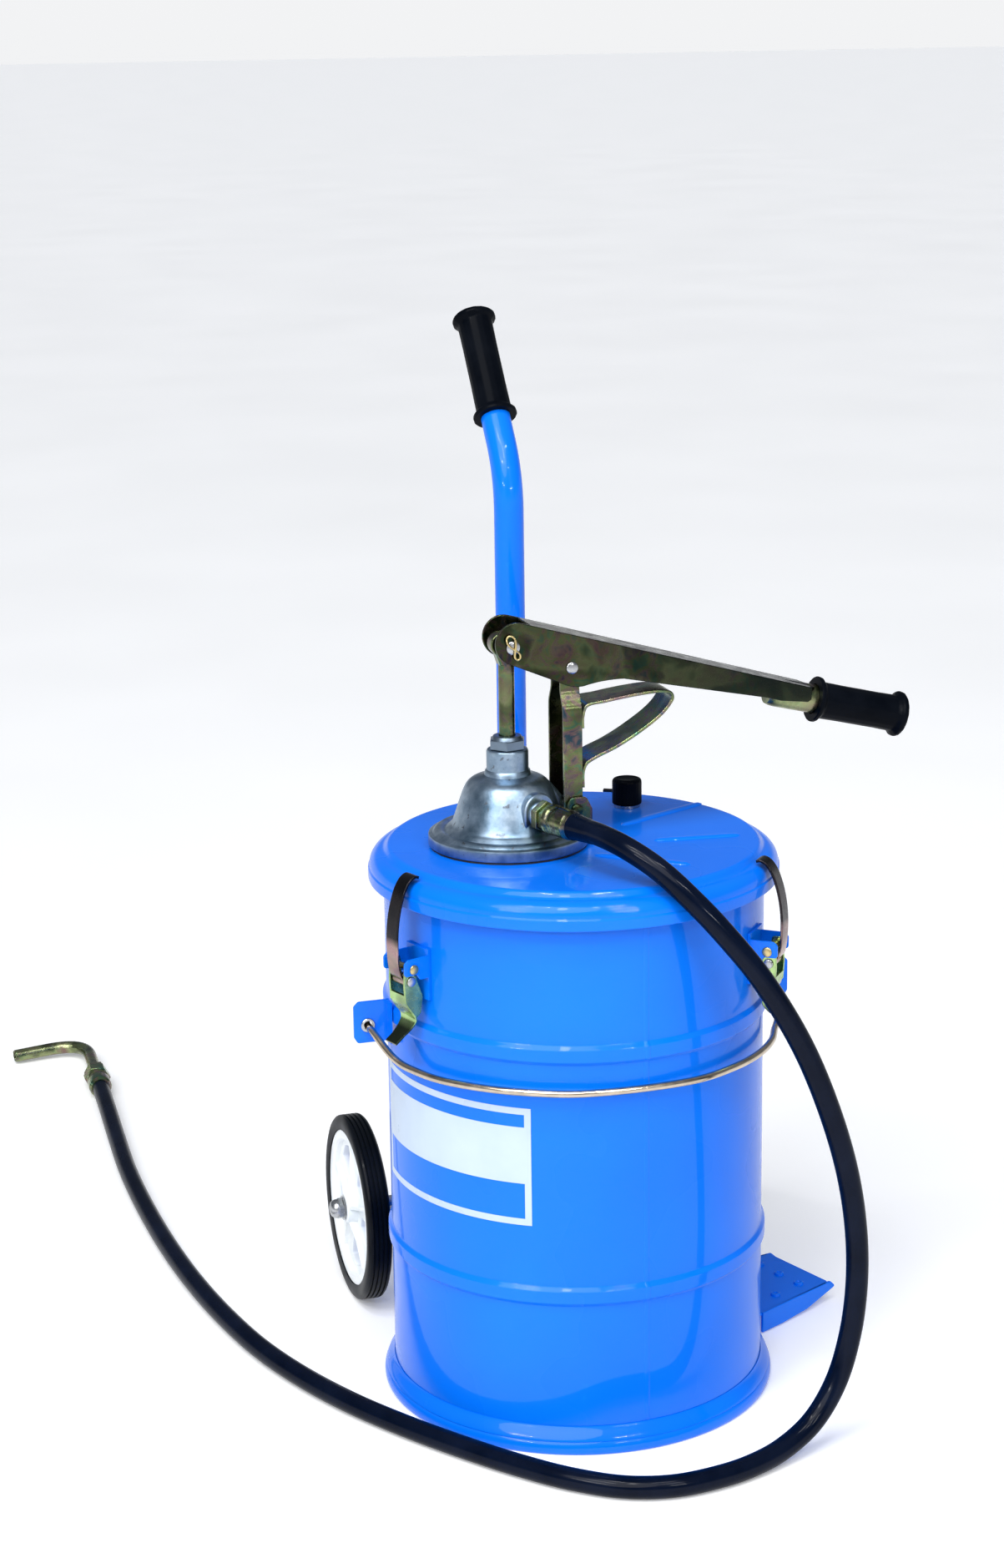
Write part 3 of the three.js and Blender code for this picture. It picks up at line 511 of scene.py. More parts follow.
def rubber(name, tone, rough, grain_scale=700, strength=0.35, gloss=0.14, coat=0.05):
    material, tree, shader, coords = node_tree(name)
    shader.inputs["Specular IOR Level"].default_value = gloss
    cloud = noise(tree, coords, 26, 4)
    light = tuple(1.7 * c + 0.002 for c in tone)
    tree.links.new(ramp(tree, cloud, [(0.35, tone), (0.72, light)]), shader.inputs["Base Color"])
    tree.links.new(remap(tree, cloud, 0.3, 0.7, *rough), shader.inputs["Roughness"])
    shader.inputs["Coat Weight"].default_value = coat
    shader.inputs["Coat Roughness"].default_value = 0.1
    bumps(tree, shader, [(noise(tree, coords, grain_scale, 3), 0.00015, strength)])
    return material


def white_plastic():
    material, tree, shader, coords = node_tree("white_plastic")
    cloud = noise(tree, coords, 20, 4)
    color = ramp(tree, cloud, [(0.3, (0.76, 0.81, 0.84)), (0.65, (0.88, 0.91, 0.92))])
    tree.links.new(color, shader.inputs["Base Color"])
    tree.links.new(remap(tree, cloud, 0.3, 0.7, 0.35, 0.5), shader.inputs["Roughness"])
    bumps(tree, shader, [(noise(tree, coords, 350, 3), 0.0001, 0.3)])
    return material


def label_film():
    material, tree, shader, coords = node_tree("label_film")
    cloud = noise(tree, coords, 14, 4)
    color = ramp(tree, cloud, [(0.3, (0.42, 0.52, 0.66)), (0.7, (0.5, 0.6, 0.74))])
    tree.links.new(color, shader.inputs["Base Color"])
    tree.links.new(remap(tree, cloud, 0.3, 0.7, 0.25, 0.35), shader.inputs["Roughness"])
    bumps(tree, shader, [(noise(tree, coords, 160, 2), 0.0001, 0.15)])
    return material


BLUE = paint()
ZINC = zinc()
ZINC_DARK = zinc("zinc_dark", 0.27)
# The lever darkens towards its grip end along X: painted dark reflection.
ZINC_LEVER = zinc("zinc_lever", 0.26, ("X", -0.05, 0.1, 0.75, (0.012, 0.017, 0.014)))
# The strap is near black above about 0.415 m height: painted dark reflection.
ZINC_STRAP = zinc("zinc_strap", 0.9, ("Z", 0.412, 0.419, 0.93, (0.008, 0.012, 0.016)), (0.44, 0.27, 0.29))
# The latch handle's tail is near black below about 0.345 m height: painted dark reflection.
ZINC_BRIGHT = zinc("zinc_bright", 1.6, ("Z", 0.348, 0.343, 0.9, (0.01, 0.013, 0.014)), (0.4, 0.62, 0.24))
ZINC_BAIL = steel("zinc_bail", (0.62, 0.52, 0.4), (0.16, 0.26))
GLAND_STEEL = steel("gland_steel", (0.2, 0.26, 0.33), (0.3, 0.45))
CAST = aluminium()
STEEL = steel()
ZINC_MID = zinc("zinc_mid", 0.62)
BRASS = steel("brass_wire", (0.66, 0.52, 0.24), (0.22, 0.36))
GRIP = rubber("grip_rubber", (0.0006, 0.0013, 0.003), (0.34, 0.5), gloss=0.03, coat=0.015)
HOSE = rubber("hose_rubber", (0.0004, 0.0022, 0.009), (0.22, 0.32), 900, 0.15, 0.02, 0.17)
TYRE = rubber("tyre_rubber", (0.001, 0.002, 0.004), (0.35, 0.5), gloss=0.08)
WHITE = white_plastic()
LABEL = label_film()
FIBRE = rubber("gasket_sheet", (0.03, 0.027, 0.022), (0.8, 0.95))

# ---------------- delivery hose (a cord)
HOSE_RADIUS = 9.0
HOSE_ROUTE = [
    (-24.2, -78.9, 500), (-13.5, -108, 500), (-1, -135, 495.5), (18, -157, 482), (42, -176, 457),
    (66, -188, 428), (88, -195, 398), (119, -200, 344), (142, -202, 288), (159, -201, 232),
    (168, -199, 180), (170, -197, 135), (165, -197, 92), (152, -200, 54), (130, -207, 27),
    (100, -218, 13), (67, -231, 9.4), (33, -240, 9.4), (-2, -242, 9.4), (-37, -232, 9.4),
    (-72, -207, 9.4), (-105, -172, 9.4), (-140, -127, 9.4), (-175, -76, 9.4), (-206, -23, 9.4),
    (-233, 36, 9.4), (-254, 98, 9.4), (-270, 170, 9.4), (-282, 250, 9.4), (-290, 340, 9.4),
    (-294, 440, 9.4), (-294, 540, 9.4), (-290, 630, 10.2), (-286, 710, 12), (-283, 770, 12.6),
]
hose_line = spline(HOSE_ROUTE, 420)
hose = build("delivery_hose_tube", [sweep(hose_line, HOSE_RADIUS, 28)], "drum", HOSE, 60,
             ["delivery_hose"])


def ferrule(length, place):
    """A crimped sleeve with eight flats and a rolled collar."""
    return lathe([(7.6, 0), (10.2, 0), (10.6, 0.6), (10.6, 2.4), (11.8, 4), (12, 5), (11.6, 6), (12, 7.4),
                  (12, length - 12), (11.5, length - 11), (12, length - 9.6), (11.9, length - 8),
                  (11, length - 6), (12, length - 4.6), (12.3, length - 3.6), (12.3, length - 1),
                  (11.4, length), (7.6, length)],
                 96, place, lambda a: -0.32 * (1 - abs(math.cos(4 * a))) ** 2)


def along_hose(end):
    """The frame of a fitting at the hose's start (0) or end (-1), +Z pointing off the hose."""
    a, b = (Vector(HOSE_ROUTE[i]) for i in ((0, 1) if end == 0 else (-1, -2)))
    way = (a - b).normalized()
    if end:
        way.z = 0
        way.normalize()
    return Matrix.Translation(a) @ way.to_track_quat("Z", "Y").to_matrix().to_4x4()


AT_PORT = move(PUMP[0], PUMP[1], PORT_Z) @ turn(BOSS_ANGLE, "Z") @ AXIS_X
build("outlet_crimp_sleeve", [ferrule(29, AT_PORT @ move(z=42 + 15.6 + 29) @ turn(180, "X"))],
      "drum", ZINC, 40, ["outlet_ferrule"])
boot = [(8.9, 0), (10.6, 0), (11, 0.6), (11, 1.6), (10.3, 2.6), (9.9, 10), (9.4, 18), (9.0, 26)]
build("hose_bend_boot", [lathe(boot, 48, AT_PORT @ move(z=86.7))], "drum", HOSE, 40)
TAIL = along_hose(-1)
tail_sleeve = build("spout_crimp_sleeve", [ferrule(30, TAIL @ move(z=0.3))], "drum", ZINC, 40,
                    ["nozzle_ferrule"])
tail_nut = build("spout_hexagon_nut", [hexagon(27.8, TAIL, 30.6, 46, 0.9), hexagon(25, TAIL, 46, 54.6, 0.9)],
                 "drum", ZINC, 32, ["nozzle_nut"])


# ---------------- drum, base ring, label
DRUM_R = 155.0


def bead(z, height=3.0, half=9.0, count=18):
    out = []
    for i in range(count + 1):
        d = -half + 2 * half * i / count
        t = min((half - abs(d)) / 4.5, 1)
        out.append((DRUM_R + height * t * t * (3 - 2 * t), z + d))
    return out


BEADS = bead(134) + bead(336)


def shell(r0, r1, a0, a1, z0, z1, count=24):
    """A curved plate about the drum's axis."""
    verts, faces = [], []
    for i in range(count + 1):
        a = rad(a0 + (a1 - a0) * i / count)
        for r, z in ((r0, z0), (r1, z0), (r1, z1), (r0, z1)):
            verts.append((r * math.cos(a), r * math.sin(a), z))
    for i in range(count):
        for k in range(4):
            j = (k + 1) % 4
            faces.append([4 * i + k, 4 * i + j, 4 * i + 4 + j, 4 * i + 4 + k])
    faces += [[3, 2, 1, 0], [4 * count + k for k in range(4)]]
    return verts, faces


def seam(angle):
    """The wall's welded seam: a low ridge that follows the beads."""
    rows = [(DRUM_R, 24)] + BEADS + [(DRUM_R, 444)]
    columns = ((-0.95, -0.3), (-0.6, 0.3), (0, 0.45), (0.6, 0.3), (0.95, -0.3))
    verts = [(*polar(r + h, angle + a), z) for r, z in rows for a, h in columns]
    faces = [[5 * i + k, 5 * i + (k + 1) % 5, 5 * i + 5 + (k + 1) % 5, 5 * i + 5 + k]
             for i in range(len(rows) - 1) for k in range(5)]
    faces += [[4, 3, 2, 1, 0], [5 * (len(rows) - 1) + k for k in range(5)]]
    return verts, faces


wall = ([(0, 14), (148, 14)] + arc(149.5, 19.5, 5.5, -90, 0, 6) + BEADS
        + [(DRUM_R, 446), (157.2, 447), (158.4, 449), (158.2, 451), (157, 452), (153.5, 452),
           (153.5, 20), (149, 15.5), (0, 15.5)])
build("drum_body", [lathe(wall, 192), seam(-87)], "drum", BLUE, 25, ["drum_shell"])
foot_ring = [(150, 0), (161.5, 0), (163, 1), (163.9, 3.2), (164, 6), (163.4, 8.6), (162.4, 10.2),
             (161.9, 10.9), (162.2, 11.6), (161.6, 13.4), (159.8, 16), (157.8, 18.6), (156.4, 20.4),
             (155.7, 22), (155.3, 22), (155.3, 10), (150, 10), (150, 0)]
build("rolled_base_ring", [lathe(foot_ring, 192)], "drum", BLUE, 40, ["base_ring"])
# A bordered label with a blank band where a name would be.
LABEL_BANDS = ((285.6, 291), (228, 275), (193, 198.4))
label = [shell(154.9, 155.3, -186, -121, bottom, top, 60) for bottom, top in LABEL_BANDS]
label += [shell(154.9, 155.3, a, a + 2, 198.4, 285.6, 4) for a in (-186, -123)]
build("blank_label_panel", label, "drum", LABEL)


# ---------------- pedal
def pedal():
    at = turn(20, "Z")
    curve = arc(0, 0, 164.8, 18.4, -18.4, 12)
    tread = curve + rounded([(158, -52.8), (250, -41), (254, -37), (254, 37), (250, 41), (158, 52.8)],
                            [0, 3, 3, 3, 3, 0])
    shapes = [plate(tread[:len(curve)] + tread[len(curve) + 1:-1], 3, 0.7, at @ move(z=18.5))]
    side = rounded([(158.4, 1.5), (184, 1.5), (218, 4), (257, 14), (250.5, 20), (158.4, 20)],
                   [0, 20, 8, 2, 3, 0])
    for sign in (1, -1):
        fold = move(250) @ turn(-sign * 7.5, "Z") @ move(-250, sign * 39.5)
        shapes.append(plate(side, 3, 0.7, at @ fold @ UPRIGHT))
    stud = [(0, 19.9), (4.6, 19.9), (4.2, 21.6), (3.4, 22.1), (2.2, 22.1), (1.7, 21.2), (0, 21.2)]
    for x, y in ((230, -26), (230, 0), (230, 26), (198, -31), (198, 31)):
        shapes.append(lathe(stud, 32, at @ move(x, y)))
    return shapes


build("pedal_tread_plate", pedal(), "drum", BLUE, 32, ["foot_plate"])


# ---------------- wheels
tread_line = [(69.8, -10), (74, -10.9), (78.5, -11), (81, -10), (82.4, -8.6)]
for z in (-6, -2, 2, 6):
    tread_line += [(82.9, z - 0.9), (81.5, z - 0.5), (81.5, z + 0.5), (82.9, z + 0.9)]
tread_line += [(82.4, 8.6), (81, 10), (78.5, 11), (74, 10.9), (69.8, 10), (69.8, -10)]
rim = [(60.5, -7), (62, -9), (69.3, -9), (69.5, -8.6), (69.5, 8.6), (69.3, 9), (62, 9), (60.5, 7), (60.5, -7)]
boss = [(6.5, -13), (12.4, -13), (13.4, -12), (15, -3), (15, 3), (13.4, 12), (12.4, 13), (6.5, 13),
        (6.5, -13)]
crown = [(8.6, 19), (8.6, 20.6), (8, 22.6), (6.4, 24.8), (3.6, 26), (0, 26.4)]
SPOKES = range(0, 360, 72)
for side, sign in SIDES:
    ears = [(131.9, 54.3), (206, 69), (218, 76), (220, 83), (216, 92), (206, 97), (131.9, 118.6)]
    outline = [rounded(ears, [0, 4, 4, 4, 4, 4, 0]), circle(*AXLE, 6.3)]
    build(f"axle_plate_{side}", [plate(outline, 4, 0.6, move(sign * 82) @ SIDEWAYS)],
          "drum", BLUE, 32, [f"axle_bracket_{side}"])
    at = move(sign * WHEEL_X, *AXLE) @ turn(sign * 90, "Y")
    body = f"{side}_wheel"
    build(f"tyre_ribbed_{side}", [lathe(tread_line, 160, at)], body, TYRE, 28,
          [f"tyre_{side}"])
    slots = [rounded([polar(23, g + 21), polar(54, g + 19), polar(57, g + 36), polar(54, g + 53),
                      polar(23, g + 51)], 2.5) for g in SPOKES]
    hub = [plate([circle(0, 0, 62.5, 96), circle(0, 0, 6.5, 24)] + slots, 6.5, 1.0, at),
           lathe(rim, 128, at), lathe(boss, 48, at)]
    for g in SPOKES:
        rib = [(12, 0), (61.5, 0), (61.5, 6), (32, 7.4), (14, 11)]
        hub.append(plate(rib, 3.2, 0.7, at @ turn(g, "Z") @ UPRIGHT))
    build(f"spoked_hub_{side}", hub, body, WHITE, 32, [f"wheel_hub_{side}"])
    cap = [hexagon(20, at, 14, 19.5, 0.8), lathe([(0, 14), (10.8, 14), (10.8, 14.8), (0, 14.8)], 40, at),
           lathe(crown, 32, at)]
    build(f"cap_nut_{side}", cap, "drum", STEEL, 32, [f"axle_nut_{side}"])
bar = [(0, -AXLE_HALF), (5.4, -AXLE_HALF), (6, -159.4), (6, 159.4), (5.4, AXLE_HALF), (0, AXLE_HALF)]
build("axle_bar", [lathe(bar, 40, move(0, *AXLE) @ AXIS_X)], "drum", STEEL, 32, ["axle"])

# ---------------- push handle
LEAN = turn(-38.5, "X")
corner = Vector((*TUBE, 739))
lean = LEAN @ Vector((0, 0, 1))
build("push_tube", [sweep(fillet((*TUBE, 62), corner, corner + lean * 156, 90, 40), 12.7, 48)],
      "drum", BLUE, 50, ["push_handle"])


def grip(length, place):
    """A rubber hand grip: rolled collars, a barrel with shallow flutes and a domed end."""
    low_end = [(12.9, 0), (18.2, 0), (18.9, 0.7), (19, 2), (18.8, 3.4), (17.6, 4.6), (16, 6), (15.3, 8)]
    high_end = [(15.3, length - 10.5), (15.9, length - 8.6), (17.6, length - 7.2), (18.8, length - 6),
                (19, length - 4.4), (18.7, length - 2.8), (17.4, length - 1.4), (14.8, length - 0.5),
                (9, length), (0, length)]
    return lathe(low_end + [(15.0, length * 0.3), (15.0, length * 0.7)] + high_end, 96, place,
                 lambda a: -0.18 * (0.5 + 0.5 * math.cos(16 * a)))


build("push_tube_grip", [grip(103, Matrix.Translation(corner + lean * 57) @ LEAN)],
      "drum", GRIP, 40, ["push_handle_grip"])
saddle = [(34, 151.8), (34, 158), (23, 165), (21, 191), (13, 199), (-5, 199), (-13, 191), (-15, 165),
          (-26, 158), (-26, 153.4)]
for name, z in (("upper", 372), ("lower", 160)):
    inside = arc(0, 0, 155.4, 99.6, 77.4, 10)
    loops = [rounded(saddle, [0, 2, 6, 5, 5, 5, 5, 6, 2, 0]) + inside[1:-1], circle(*TUBE, 13, 40)]
    bolts = [dome(6, 3, 16.9, move(4, 172, z + 13) @ turn(s * 90, "Y"), 24) for s in (1, -1)]
    build(f"tube_saddle_{name}", [plate(loops, 26, 1.4, move(z=z + 13))] + bolts,
          "drum", BLUE, 32, [f"handle_clamp_{name}"])

# ---------------- carrying bail
HINGE = 328.0
EAR_X = 176.5
BAIL_RADIUS = 164.5
for side, sign in SIDES:
    flag = rounded([(158.2, 313), (185, 313), (188, 318), (188, 344), (184, 348), (158.2, 348)],
                   [0, 3, 3, 3, 3, 0])
    at = move(y=-1) @ (turn(180, "Z") if sign < 0 else IDENTITY) @ UPRIGHT
    ear = [plate([flag, circle(EAR_X, HINGE, 5.1)], 2.5, 0.4, at)]
    first = 180.4 if sign < 0 else -4.4
    ear.append(shell(158.9, 160.8, first, first + 4, 313, 348, 4))
    build(f"bail_lug_{side}", ear, "drum", BLUE, 32, [f"bail_ear_{side}"])
    ring = [(3.9, -3), (5.3, -3), (5.8, -2.5), (5.8, -1.3), (4.9, -1.3), (4.9, 1.6), (5.8, 1.6), (5.8, 2.4),
            (3.9, 2.4), (3.9, -3)]
    build(f"bail_bush_{side}", [lathe(ring, 40, move(sign * EAR_X, -1, HINGE) @ AXIS_Y)],
          "drum", STEEL)
half_bail = [(-EAR_X, 9, 340), (-EAR_X, 7.5, 332), (-EAR_X, 0, 327.5), (-175, -8, 325), (-172.2, -18, 321),
             (-168.8, -29, 315.6), (-165, -39, 311), (-160, -48.5, 307.6), (-153.7, -59.4, 306)]
half_bail += [(*polar(BAIL_RADIUS, a), z) for a, z in
              ((-149, 306), (-136, 307.3), (-122, 308.1), (-106, 308.3))]
wire = spline(half_bail + [(-x, y, z) for x, y, z in reversed(half_bail)], 260)
build("bail_rod", [sweep(wire, lambda t: 3 * min(1, (min(t, 1 - t) * 400 + 0.35)) ** 0.5, 20)],
      "bail", ZINC_BAIL, 50, ["bail_wire"])


# ---------------- lid latches
def across(r, z, half, radius, head, place):
    """A riveted pin along Y at radius r and height z."""
    at = place @ move(r, 0, z) @ AXIS_Y
    shapes = [lathe([(0, -half), (radius, -half), (radius, half), (0, half)], 24, at)]
    for flip in (IDENTITY, turn(180, "X")):
        shapes.append(dome(head, 1.6, half - 0.1, at @ flip, 32))
    return shapes


PIVOT = (171, 394.5)
HOOK_PIN = (171, 383.5)
LATCH_CHEEK = [(167, 400), (174, 400.5), (177, 396), (177.5, 380), (176.5, 366), (166.5, 352), (162, 356),
               (160, 370), (165.5, 384)]
LATCH_TAIL = [(176.4, 373), (174.6, 365), (170.4, 358), (166.6, 352.4), (166.4, 348.6), (169.6, 344),
              (176, 338.6), (184, 333)]
HOOK_LINE = [(174.6, 384.5), (177.6, 389), (179.3, 396), (180.2, 408), (180.2, 420), (178.8, 433),
             (175.8, 446), (171.3, 457.5), (166.3, 464), (161.6, 466.2), (158.4, 465.4)]


def narrowed(shape, base=338, rise=12, least=0.68):
    """The latch tail's shape: least of its width up to the height base, all of it from base + rise on."""
    verts, faces = shape
    out = []
    for x, y, z in map(tuple, verts):
        share = min(max((z - base) / rise, 0), 1)
        out.append(Vector((x, y * (least + (1 - least) * share), z)))
    return out, faces


for side, angle in (("left", -160), ("right", -40), ("rear", 60)):
    at = turn(angle, "Z")
    ear = rounded([(155.6, 385), (165, 385), (168, 389.6), (179.5, 389.6), (179.5, 400), (176, 403),
                   (155.6, 403)], [0, 2, 2, 3, 3, 3, 0])
    bracket = [placed(shell(155.3, 157.6, -5.5, 5.5, 366, 408, 12), at)]
    for y in (-14.1, 14.1):
        bracket.append(plate([ear, circle(*PIVOT, 2.8, 20)], 1.8, 0.35, at @ move(y=y) @ UPRIGHT))
    build(f"latch_seat_{side}", bracket, "drum", BLUE, 32, [f"latch_{side}_bracket"])
    build(f"latch_rivet_{side}", across(*PIVOT, 15.4, 2.5, 4, at), "drum", BRASS, 32,
          [f"latch_{side}_pivot_pin"])
    cheek = [rounded(LATCH_CHEEK, 2.5), circle(*PIVOT, 2.8, 20), circle(*HOOK_PIN, 2.8, 20)]
    lever = [plate(cheek, 2, 0.45, at @ move(y=y) @ UPRIGHT) for y in (-10, 10)]
    lever.append(placed(narrowed(plate(band(LATCH_TAIL, 1.9, 60), 21, 0.5, UPRIGHT)), at))
    build(f"latch_handle_{side}", lever, f"{side}_latch_lever", ZINC_BRIGHT, 32,
          [f"latch_{side}_lever"])
    build(f"latch_hook_rivet_{side}", across(*HOOK_PIN, 11.4, 2.5, 4, at), f"{side}_latch_lever",
          STEEL, 32, [f"latch_{side}_hook_pin"])
    roll = [(2.8, -7.2), (4.9, -7.2), (4.9, 7.2), (2.8, 7.2), (2.8, -7.2)]
    hook = [plate(band(HOOK_LINE, 2.2, 90), 14.4, 0.6, at @ UPRIGHT),
            lathe(roll, 32, at @ move(HOOK_PIN[0], 0, HOOK_PIN[1]) @ AXIS_Y)]
    build(f"latch_strap_{side}", hook, f"{side}_latch_hook", ZINC_STRAP, 32,
          [f"latch_{side}_hook"])

# ---------------- lid
shoulder = arc(154.4, 450.4, 11.9, 84, 4, 14)
lid_line = ([(0, 467.5), (148.6, 467.5), (150.4, 467.2), (151.8, 466.2), (153.4, 463.9), (154.4, 463)]
            + shoulder
            + [(166.3, 449.9), (166.7, 449.3), (167.3, 448.5), (167.4, 447.2), (167.4, 441.4), (167, 440.3),
               (166.4, 440), (165.8, 440.4), (165.4, 448), (163.4, 455), (158, 460.2), (154.4, 461.4),
               (151.4, 465.2), (149, 465.9), (0, 465.9)])
BARREL_HOLE, NECK_HOLE = 22.8, 8.5
LID_HOLES = [lathe([(0, 455), (radius, 455), (radius, 480), (0, 480)], 64, move(x, y))
             for x, y, radius in ((*PUMP, BARREL_HOLE), (*FILLER, NECK_HOLE))]
lid_shapes = [bored(lathe(lid_line, 192), LID_HOLES)]
for a, b in (((49, 24), (137, 68)), ((59, -28), (132, -36)), ((0, -51), (64, -104))):
    line = [Vector((*a, 0)).lerp(Vector((*b, 0)), i / 24) for i in range(25)]
    lid_shapes.append(placed(sweep(line, lambda t: 4.2 * (1 - (2 * t - 1) ** 12) ** 0.5 + 0.05, 20),
                             move(z=467.2) @ Matrix.Scale(0.5, 4, (0, 0, 1))))
build("lid_pressing", lid_shapes, "drum", BLUE, 30, ["lid"])
neck = [(6, 455.5), (8, 455.5), (8, 467.8), (11, 467.8), (11, 470), (8, 470), (8, 483.5), (6, 483.5),
        (6, 455.5)]
build("filler_spigot", [lathe(neck, 48, move(*FILLER))], "drum", STEEL, 32, ["filler_neck"])
knob = [(8.4, 470.5), (12, 470.5), (12.4, 471), (12.5, 472), (12.5, 489), (12.2, 490.6), (11.2, 491.8),
        (9.4, 492.3), (8.4, 491.6), (0, 491.4), (0, 488.5), (8.4, 488.5), (8.4, 470.5)]
build("filler_knob", [lathe(knob, 120, move(*FILLER), lambda a: -0.12 + 0.12 * math.cos(30 * a))], "cap",
      GRIP, 40, ["filler_cap"])

# ---------------- pump head
AT_PUMP = move(*PUMP)
BOSS_FRAME = AT_PUMP @ turn(BOSS_ANGLE, "Z")
bell_side = spline([(49, 483.4), (46.6, 485.4), (44.9, 488.6), (42.9, 494), (39.6, 504), (35.9, 514),
                    (32.6, 519.6), (28, 523), (22, 524.8), (19, 526)], 40)
bell = ([(22.5, 469.1), (63.9, 469.1), (64.8, 469.7), (65, 470.6), (65, 476.6), (64.6, 478), (63.4, 478.8),
         (61.4, 479.2), (59.8, 480.9), (57.6, 482.2), (54.8, 482), (53, 480.9), (51.6, 480.9)]
        + [(p.x, p.y) for p in bell_side]
        + [(18.6, 527.6), (18.2, 529.4), (17.2, 530.4), (17, 532), (17, 545), (16.2, 546.6), (15, 547),
           (11.5, 547), (11.5, 530), (7.2, 530), (7.2, 516), (22.5, 508), (22.5, 469.1)])
arch = [(-14.5, 481), (14.5, 481), (14.5, 503)] + arc(0, 503, 14.5, 0, 180, 20)[1:]
head = [lathe(bell, 160, AT_PUMP),
        plate(arch, 17, 1.6, BOSS_FRAME @ move(33.4) @ SIDEWAYS),
        lathe([(6.6, 40), (10.6, 40), (10.6, 42.8), (9.8, 43.6), (6.6, 43.6), (6.6, 40)], 48, AT_PORT),
        plate(rounded([(42, -26), (66, -26), (66, 26), (42, 26)], [0, 5, 5, 0]), 13.6, 1.6,
              AT_PUMP @ move(z=476)),
        plate(rounded([(24, 523), (34, 518), (44.6, 505), (45, 486), (38, 482), (24, 482)],
                      [0, 5, 4, 3, 0, 0]), 15, 3.4, AT_PUMP @ UPRIGHT)]
build("cast_pump_head", head, "drum", CAST, 35, ["pump_housing"])
nut_loop = [polar(15.5, 60 * i + 12) for i in range(6)]
gland = [plate([nut_loop, circle(0, 0, 7, 32)], 7.6, 0.7, AT_PUMP @ move(z=551.2)),
         lathe([(7, 554), (12.9, 554), (12.6, 555.6), (11.4, 557.6), (10.4, 558), (7, 558), (7, 554)],
               64, AT_PUMP),
         lathe([(7, 540), (11.1, 540), (11.1, 548), (7, 548), (7, 540)], 48, AT_PUMP)]
build("gland_hexagon", gland, "drum", GLAND_STEEL, 32, ["gland_nut"])
EYE_Z = 633


def slot_loop(radius, low_angle, high_angle, count):
    """Two arcs, set 5.2 mm apart so that the lever's pin can slide between them."""
    near = arc(0, EYE_Z, radius, low_angle, 90, count)
    far = arc(0, EYE_Z, radius, 90, high_angle, count)
    return [(p[0] + 0.6, p[1]) for p in near] + [(p[0] - 4.6, p[1]) for p in far]


eye = slot_loop(9.4, -62, 238, 16) + [(-6.5, 616), (6.5, 616)]
eye_slot = slot_loop(5, -90, 270, 12)
rod = [lathe([(0, 123.9), (6.5, 123.9), (6.5, 617), (5.6, 618), (0, 618)], 48, AT_PUMP),
       plate([eye, eye_slot], 12, 1.0, AT_PUMP @ UPRIGHT)]
build("plunger_bar", rod, "plunger", ZINC_MID, 32, ["plunger_rod"])

# ---------------- fulcrum bracket, post and carrying strip
AT_POST = move(POST[0], POST[1])
AT_FULCRUM = move(*POST)
lug = rounded([(0.5, 483.2), (15, 483.2), (15, 497), (10, 507), (-3, 507), (-6, 502), (-6, 491),
               (0.5, 487)],
              [0, 0, 3, 4, 4, 3, 2, 2])
stand = [plate(rounded([(0.5, -25), (15, -25), (15, 25), (0.5, 25)], 1.5), 3, 0.5, AT_POST @ move(z=484.6))]
stand += [plate([lug, circle(*POST_FOOT, 4.3, 24)], 2.6, 0.5, AT_POST @ move(y=y) @ UPRIGHT)
          for y in (-22, 22)]
build("post_stand", stand, "drum", ZINC_MID, 32, ["fulcrum_bracket"])
post = []
for sign in (1, -1):
    line = [(sign * x, z) for x, z in ((18.75, 491.2), (18.75, 540), (18.75, 574), (18.3, 580), (15.2, 586),
                                       (12.3, 592), (11.75, 598), (11.75, 606))]
    post.append(plate(band(line, 2.5, 60), 16, 0.5, AT_POST @ SIDEWAYS))
    top = [(-8, 596), (8, 596), (8, POST[2])] + arc(0, POST[2], 8.6, 0, 180, 16) + [(-8, POST[2])]
    post.append(plate([top, circle(0, POST[2], 4.3, 24)], 2.5, 0.5, AT_POST @ move(y=sign * 11.75) @ UPRIGHT))
back = [(-18, 491.2), (18, 491.2), (18, 578), (12, 592), (-12, 592), (-18, 578)]
post.append(plate(back, 2.5, 0.5, AT_POST @ move(6.75) @ SIDEWAYS))
build("channel_post", post, "drum", ZINC_MID, 32, ["fulcrum_post"])
strip_line = [(9.6, 562), (9.8, 572), (13, 580), (30, 583), (55, 586.2), (76, 587.2), (84.4, 585.4),
              (86.2, 581.4), (83.4, 576), (76, 568), (58, 555.5), (38, 544.5), (20, 537), (12.4, 532.4),
              (9.8, 526), (9.6, 513)]
build("carrying_strip", [plate(band(strip_line, 2.6, 160), 34, 0.8, AT_POST @ UPRIGHT)],
      "drum", ZINC, 32, ["carry_handle"])


# ---------------- lever
LEVER_SLOPE = 16.15
LEVER_TAPER = 0.67


def top_edge(x):
    """The height of the lever's top above its pivot; x runs from the pivot to the grip."""
    return 37.3 - (x + 36) * math.tan(rad(LEVER_SLOPE))


def quad(a, b, c, count=12):
    a, b, c = Vector(a), Vector(b), Vector(c)
    return [tuple(a * (1 - i / count) ** 2 + b * 2 * (i / count) * (1 - i / count) + c * (i / count) ** 2)
            for i in range(1, count + 1)]


